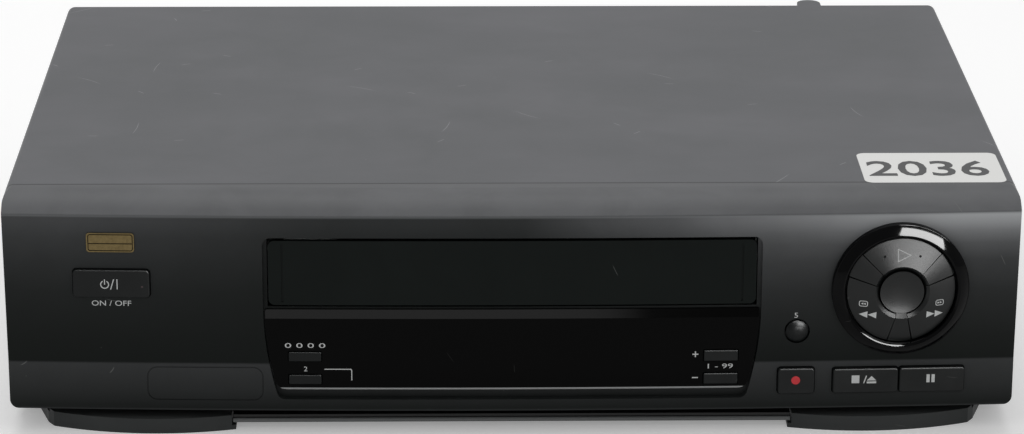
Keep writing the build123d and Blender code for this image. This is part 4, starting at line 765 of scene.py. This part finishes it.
def figures(name, words, size, place, material=None, lift=INK_LIFT, bold=0.0):
    """Plain figures made to a width and a height in millimetres, centred on a place."""
    curve = bpy.data.curves.new(name, "FONT")
    curve.body = words
    curve.offset = bold * MM
    curve.size = size[1] * MM
    curve.extrude = INK_FILM * MM / 2
    curve.resolution_u = 3
    text = bpy.data.objects.new(name + "_text", curve)
    bpy.context.scene.collection.objects.link(text)
    bpy.context.view_layer.update()
    shown = text.evaluated_get(bpy.context.evaluated_depsgraph_get())
    mesh = bpy.data.meshes.new_from_object(shown)
    bpy.data.objects.remove(text)
    fitted(mesh, size)
    mesh.materials.clear()
    lifted = place @ Matrix.Translation((0, 0, lift * MM))
    return place_piece(name, mesh, lifted, material or grey_ink, "chassis")


print("the figures are", INK_FILM, "mm thick")

# %% Figures and lines on the panel and the lens
LENS_DEPTH = 0.3  # how far the lens lies behind the face
figures("power_figures", "ON / OFF", (15.6, 2.2), on_front(-157.8, 54.1))
figures("display_figure", "5", (1.4, 2.1), on_front(112.1, 48.6))
figures("counter_figures", "0 0 0 0", (16.0, 2.0), on_front(-81.9, 36.7, LENS_DEPTH))
figures("link_figure", "2", (1.3, 2.0), on_front(-81.8, 26.8, LENS_DEPTH))
figures("channel_figures", "1 - 99", (10.0, 2.0), on_front(82.5, 27.4, LENS_DEPTH))
plus = [bar(2.4, 0.45), bar(0.45, 2.4)]
mark("plus_sign", plus, on_front(72.5, 32.5, LENS_DEPTH), grey_ink, "chassis")
mark("minus_sign", plus[:1], on_front(72.5, 22.6, LENS_DEPTH), grey_ink, "chassis")
link_line = stroke([(-5.2, 1.9), (5.0, 1.9), (5.4, 1.5), (5.4, -2.6)], 0.35, closed=False)
mark("link_line", link_line, on_front(-69.0, 24.8, LENS_DEPTH), grey_ink, "chassis")

# %% [markdown]
# ## The badge plate
# A thin brass plate, etched with a plain frame and one line, sits above the power button.
# Etching leaves dark matt lines in the dull metal, and age has browned it.

# %% Etched brass badge
def etched_brass(name):
    """Dull brass with brown patches."""
    material, tree, shader, place = new_material(name)
    cloud = noise(tree, place, size_mm=1.1, detail=3.0)
    tone = blend_colour(tree, cloud, "#83724a", "#55472b", 0.9)
    tree.links.new(tone, shader.inputs["Base Color"])
    shader.inputs["Metallic"].default_value = 0.7
    shader.inputs["Roughness"].default_value = 0.42
    return material


badge_metal = etched_brass("etched brass, badge")
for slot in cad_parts["badge_plate"].material_slots:
    slot.material = badge_metal
BADGE_LINE = 0.3
badge_frame = stroke(rounded_bar(17.4, 6.6, 0.9), BADGE_LINE)
mark("badge_bars", badge_frame + [bar(17.0, BADGE_LINE, 0.0, -0.4)],
     on_front(-157.5, 79.45, -0.5), black_ink, "chassis")
print("loops on the badge:", len(badge_frame) + 1)

# %% [markdown]
# ## The stock label
# A white paper label with a plain number is stuck on the cover's front right corner.
# It is a thin sheet with rounded corners, and its paper shows faint fibres.

# %% Paper label on the cover
def label_paper(name):
    """White paper with faint fibres."""
    material, tree, shader, place = new_material(name)
    fibre = noise(tree, place, size_mm=0.7, detail=5.0)
    tone = blend_colour(tree, fibre, "#f4f4f2", "#e4e4e1", 0.6)
    tree.links.new(tone, shader.inputs["Base Color"])
    tree.links.new(bump(tree, fibre, depth_mm=0.02), shader.inputs["Normal"])
    shader.inputs["Roughness"].default_value = 0.6
    return material


paper = label_paper("coated paper label")
COVER_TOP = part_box("top_cover")[1][2] / MM
LABEL_X, LABEL_BACK, LABEL_WIDTH, LABEL_DEPTH = 168.1, 34.4, 56.4, 37.8
label_place = Matrix.Translation(Vector((LABEL_X, corner_y + LABEL_BACK, COVER_TOP)) * MM)
PAPER_LIFT, NUMBER_LIFT = 0.08, 0.16
mark("stock_label", [rounded_bar(LABEL_WIDTH, LABEL_DEPTH, 3.5)], label_place, paper, "chassis",
     lift=PAPER_LIFT)
number_place = label_place @ Matrix.Translation((-1.4 * MM, -1.1 * MM, 0))
figures("stock_number", "2036", (48.5, 19.2), number_place, label_ink, lift=NUMBER_LIFT, bold=0.25)
print("label, mm:", LABEL_WIDTH, "x", LABEL_DEPTH)

# %% [markdown]
# ## Floor, light and camera
# The recorder stands on a plain pale floor under an even pale sky. The floor glows a little for the
# eye and for mirrors only, so it looks white and keeps the shadow, and the glow lights nothing.

# %% Floor
FLOOR_GLOW = 0.27
FLOOR_HALF = 12.0  # metres, so that its far edge lies above a low view
WHITE = (1, 1, 1, 1)


def studio_floor():
    """Pale floor that looks white to the eye and in reflections, and keeps the shadow."""
    material, tree, shader, place = new_material("studio floor")
    sweep = add(tree, "ShaderNodeTexNoise", {"Vector": place, "Scale": per_mm(600.0)})
    rays = add(tree, "ShaderNodeLightPath").outputs
    mirrored = add(tree, "ShaderNodeMath", {0: rays["Is Glossy Ray"],
                                            1: rays["Is Transmission Ray"]}, operation="MAXIMUM")
    direct = add(tree, "ShaderNodeMath", {0: rays["Is Camera Ray"], 1: mirrored.outputs[0]},
                 operation="MAXIMUM").outputs[0]
    tree.links.new(product(tree, direct, FLOOR_GLOW), shader.inputs["Emission Strength"])
    shader.inputs["Emission Color"].default_value = WHITE
    tone = blend_colour(tree, sweep.outputs["Fac"], "#f1f1f1", "#ededed")
    tree.links.new(tone, shader.inputs["Base Color"])
    shader.inputs["Roughness"].default_value = 0.8
    shader.inputs["Specular IOR Level"].default_value = 0.2
    return material


floor_mesh = bpy.data.meshes.new("studio_floor")
floor_corners = [(x, y, 0) for x, y in bar(2 * FLOOR_HALF, 2 * FLOOR_HALF)]
floor_mesh.from_pydata(floor_corners, [], [(0, 1, 2, 3)])
floor_mesh.materials.append(studio_floor())
floor = bpy.data.objects.new("studio_floor", floor_mesh)
bpy.context.scene.collection.objects.link(floor)
print("floor, m:", 2 * FLOOR_HALF)

# %% World
WORLD_LEVEL = 0.5
world = bpy.data.worlds.new("pale studio")
world.use_nodes = True
bpy.context.scene.world = world
sky = world.node_tree.nodes["Background"].inputs
sky["Strength"].default_value = WORLD_LEVEL
sky["Color"].default_value = WHITE
print("world level:", sky["Strength"].default_value)

# %% [markdown]
# A soft lamp above and behind lights everything, and most of all the cover. Gloss shows the lamps
# themselves, so the bright patches on the ring, the dial, the buttons and the lens are lamps too.
# Those lamps are linked to the nodes they shine on and give no diffuse light, so each adds its
# reflection there and changes nothing else.

# %% Lamps
def soft_lamp(name, place, target, size, glow, along=(1.0, 0.0, 0.0), shines_on=()):
    """A rectangular soft lamp aimed at a point, its width laid along a direction.

    A lamp that shines on some pieces puts its reflection on them and lights nothing else."""
    place, target, along = Vector(place), Vector(target), Vector(along)
    back = (place - target).normalized()
    across = (along - along.dot(back) * back).normalized()
    light = bpy.data.lights.new(name, "AREA")
    light.shape = "RECTANGLE"
    light.size, light.size_y = size
    light.energy = glow * pi * size[0] * size[1]
    lamp = bpy.data.objects.new(name, light)
    axes = Matrix((across, back.cross(across), back)).transposed().to_4x4()
    lamp.matrix_world = Matrix.Translation(place) @ axes
    bpy.context.scene.collection.objects.link(lamp)
    if shines_on:
        lamp.visible_diffuse = False
        group = bpy.data.collections.new(name + "_receivers")
        for piece in shines_on:
            group.objects.link(pieces[piece])
        lamp.light_linking.receiver_collection = group
    return lamp


pieces = dict(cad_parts, dial_disc_skin=disc_skin)
glossy_keys = finishes[dial_abs] + finishes[button_abs] + ["dial_disc_skin"]
dial_place = on_front(DIAL_X, DIAL_Z).translation
upper_right = dial_place + 1.2 * Vector((0.5, -0.6, 0.62))
low_right = dial_place + 1.5 * Vector((0.36, -0.92, 0.16))
slanted = (0.66, 0.2, -0.34)
soft_lamp("overhead_lamp", (-0.1, 0.45, 1.5), (0.0, 0.0, 0.05), (1.4, 0.9), 2.3)
soft_lamp("ring_lamp", upper_right, dial_place, (1.0, 0.42), 92.0, along=slanted,
          shines_on=["dial_ring"])
soft_lamp("front_lamp", low_right, dial_place, (1.1, 0.4), 19.0, shines_on=glossy_keys)
soft_lamp("key_lamp", upper_right, dial_place, (1.0, 0.42), 38.0, along=slanted,
          shines_on=glossy_keys)
soft_lamp("left_lamp", (-0.25, -1.5, 0.42), (-0.05, 0.0, 0.05), (0.8, 0.5), 4.0,
          shines_on=["display_window", "cassette_flap", "power_button"])
soft_lamp("upper_lamp", (0.1, -0.7, 1.4), (0.1, 0.0, 0.05), (1.2, 0.35), 20.0,
          shines_on=glossy_keys)

# %% [markdown]
# The camera looks down by 19 degrees from about 1.5 m, with a long lens that keeps the box's sides
# nearly parallel. It is set up from its direction, so that its small roll is easy to give.

# %% Camera
FOCAL_PIXELS = 3695.5                      # focal length in pixels
FRAME_PIXELS = 1024                        # width of the picture
SENSOR = 36.0                              # width of the sensor, mm
STAND_X, STAND_Y, STAND_Z = -25.34, -1368.53, 560.1  # from the front's corners and the floor, mm
yaw, pitch, roll = radians(1.051), radians(19.0), radians(-0.173)
ahead = Vector((sin(yaw) * cos(pitch), cos(yaw) * cos(pitch), -sin(pitch)))
level_right = Vector((cos(yaw), -sin(yaw), 0))
level_down = ahead.cross(level_right)
right = cos(roll) * level_right + sin(roll) * level_down
down = -sin(roll) * level_right + cos(roll) * level_down
camera_data = bpy.data.cameras.new("camera")
camera_data.sensor_width = SENSOR
camera_data.lens = FOCAL_PIXELS / FRAME_PIXELS * SENSOR
camera = bpy.data.objects.new("camera", camera_data)
stand = Vector((STAND_X, corner_y + STAND_Y, STAND_Z)) * MM
axes = Matrix((right, -down, -ahead)).transposed().to_4x4()
camera.matrix_world = Matrix.Translation(stand) @ axes
bpy.context.scene.collection.objects.link(camera)
bpy.context.scene.camera = camera
bpy.context.scene.view_settings.view_transform = "Standard"
print("lens, mm:", round(camera_data.lens, 1))
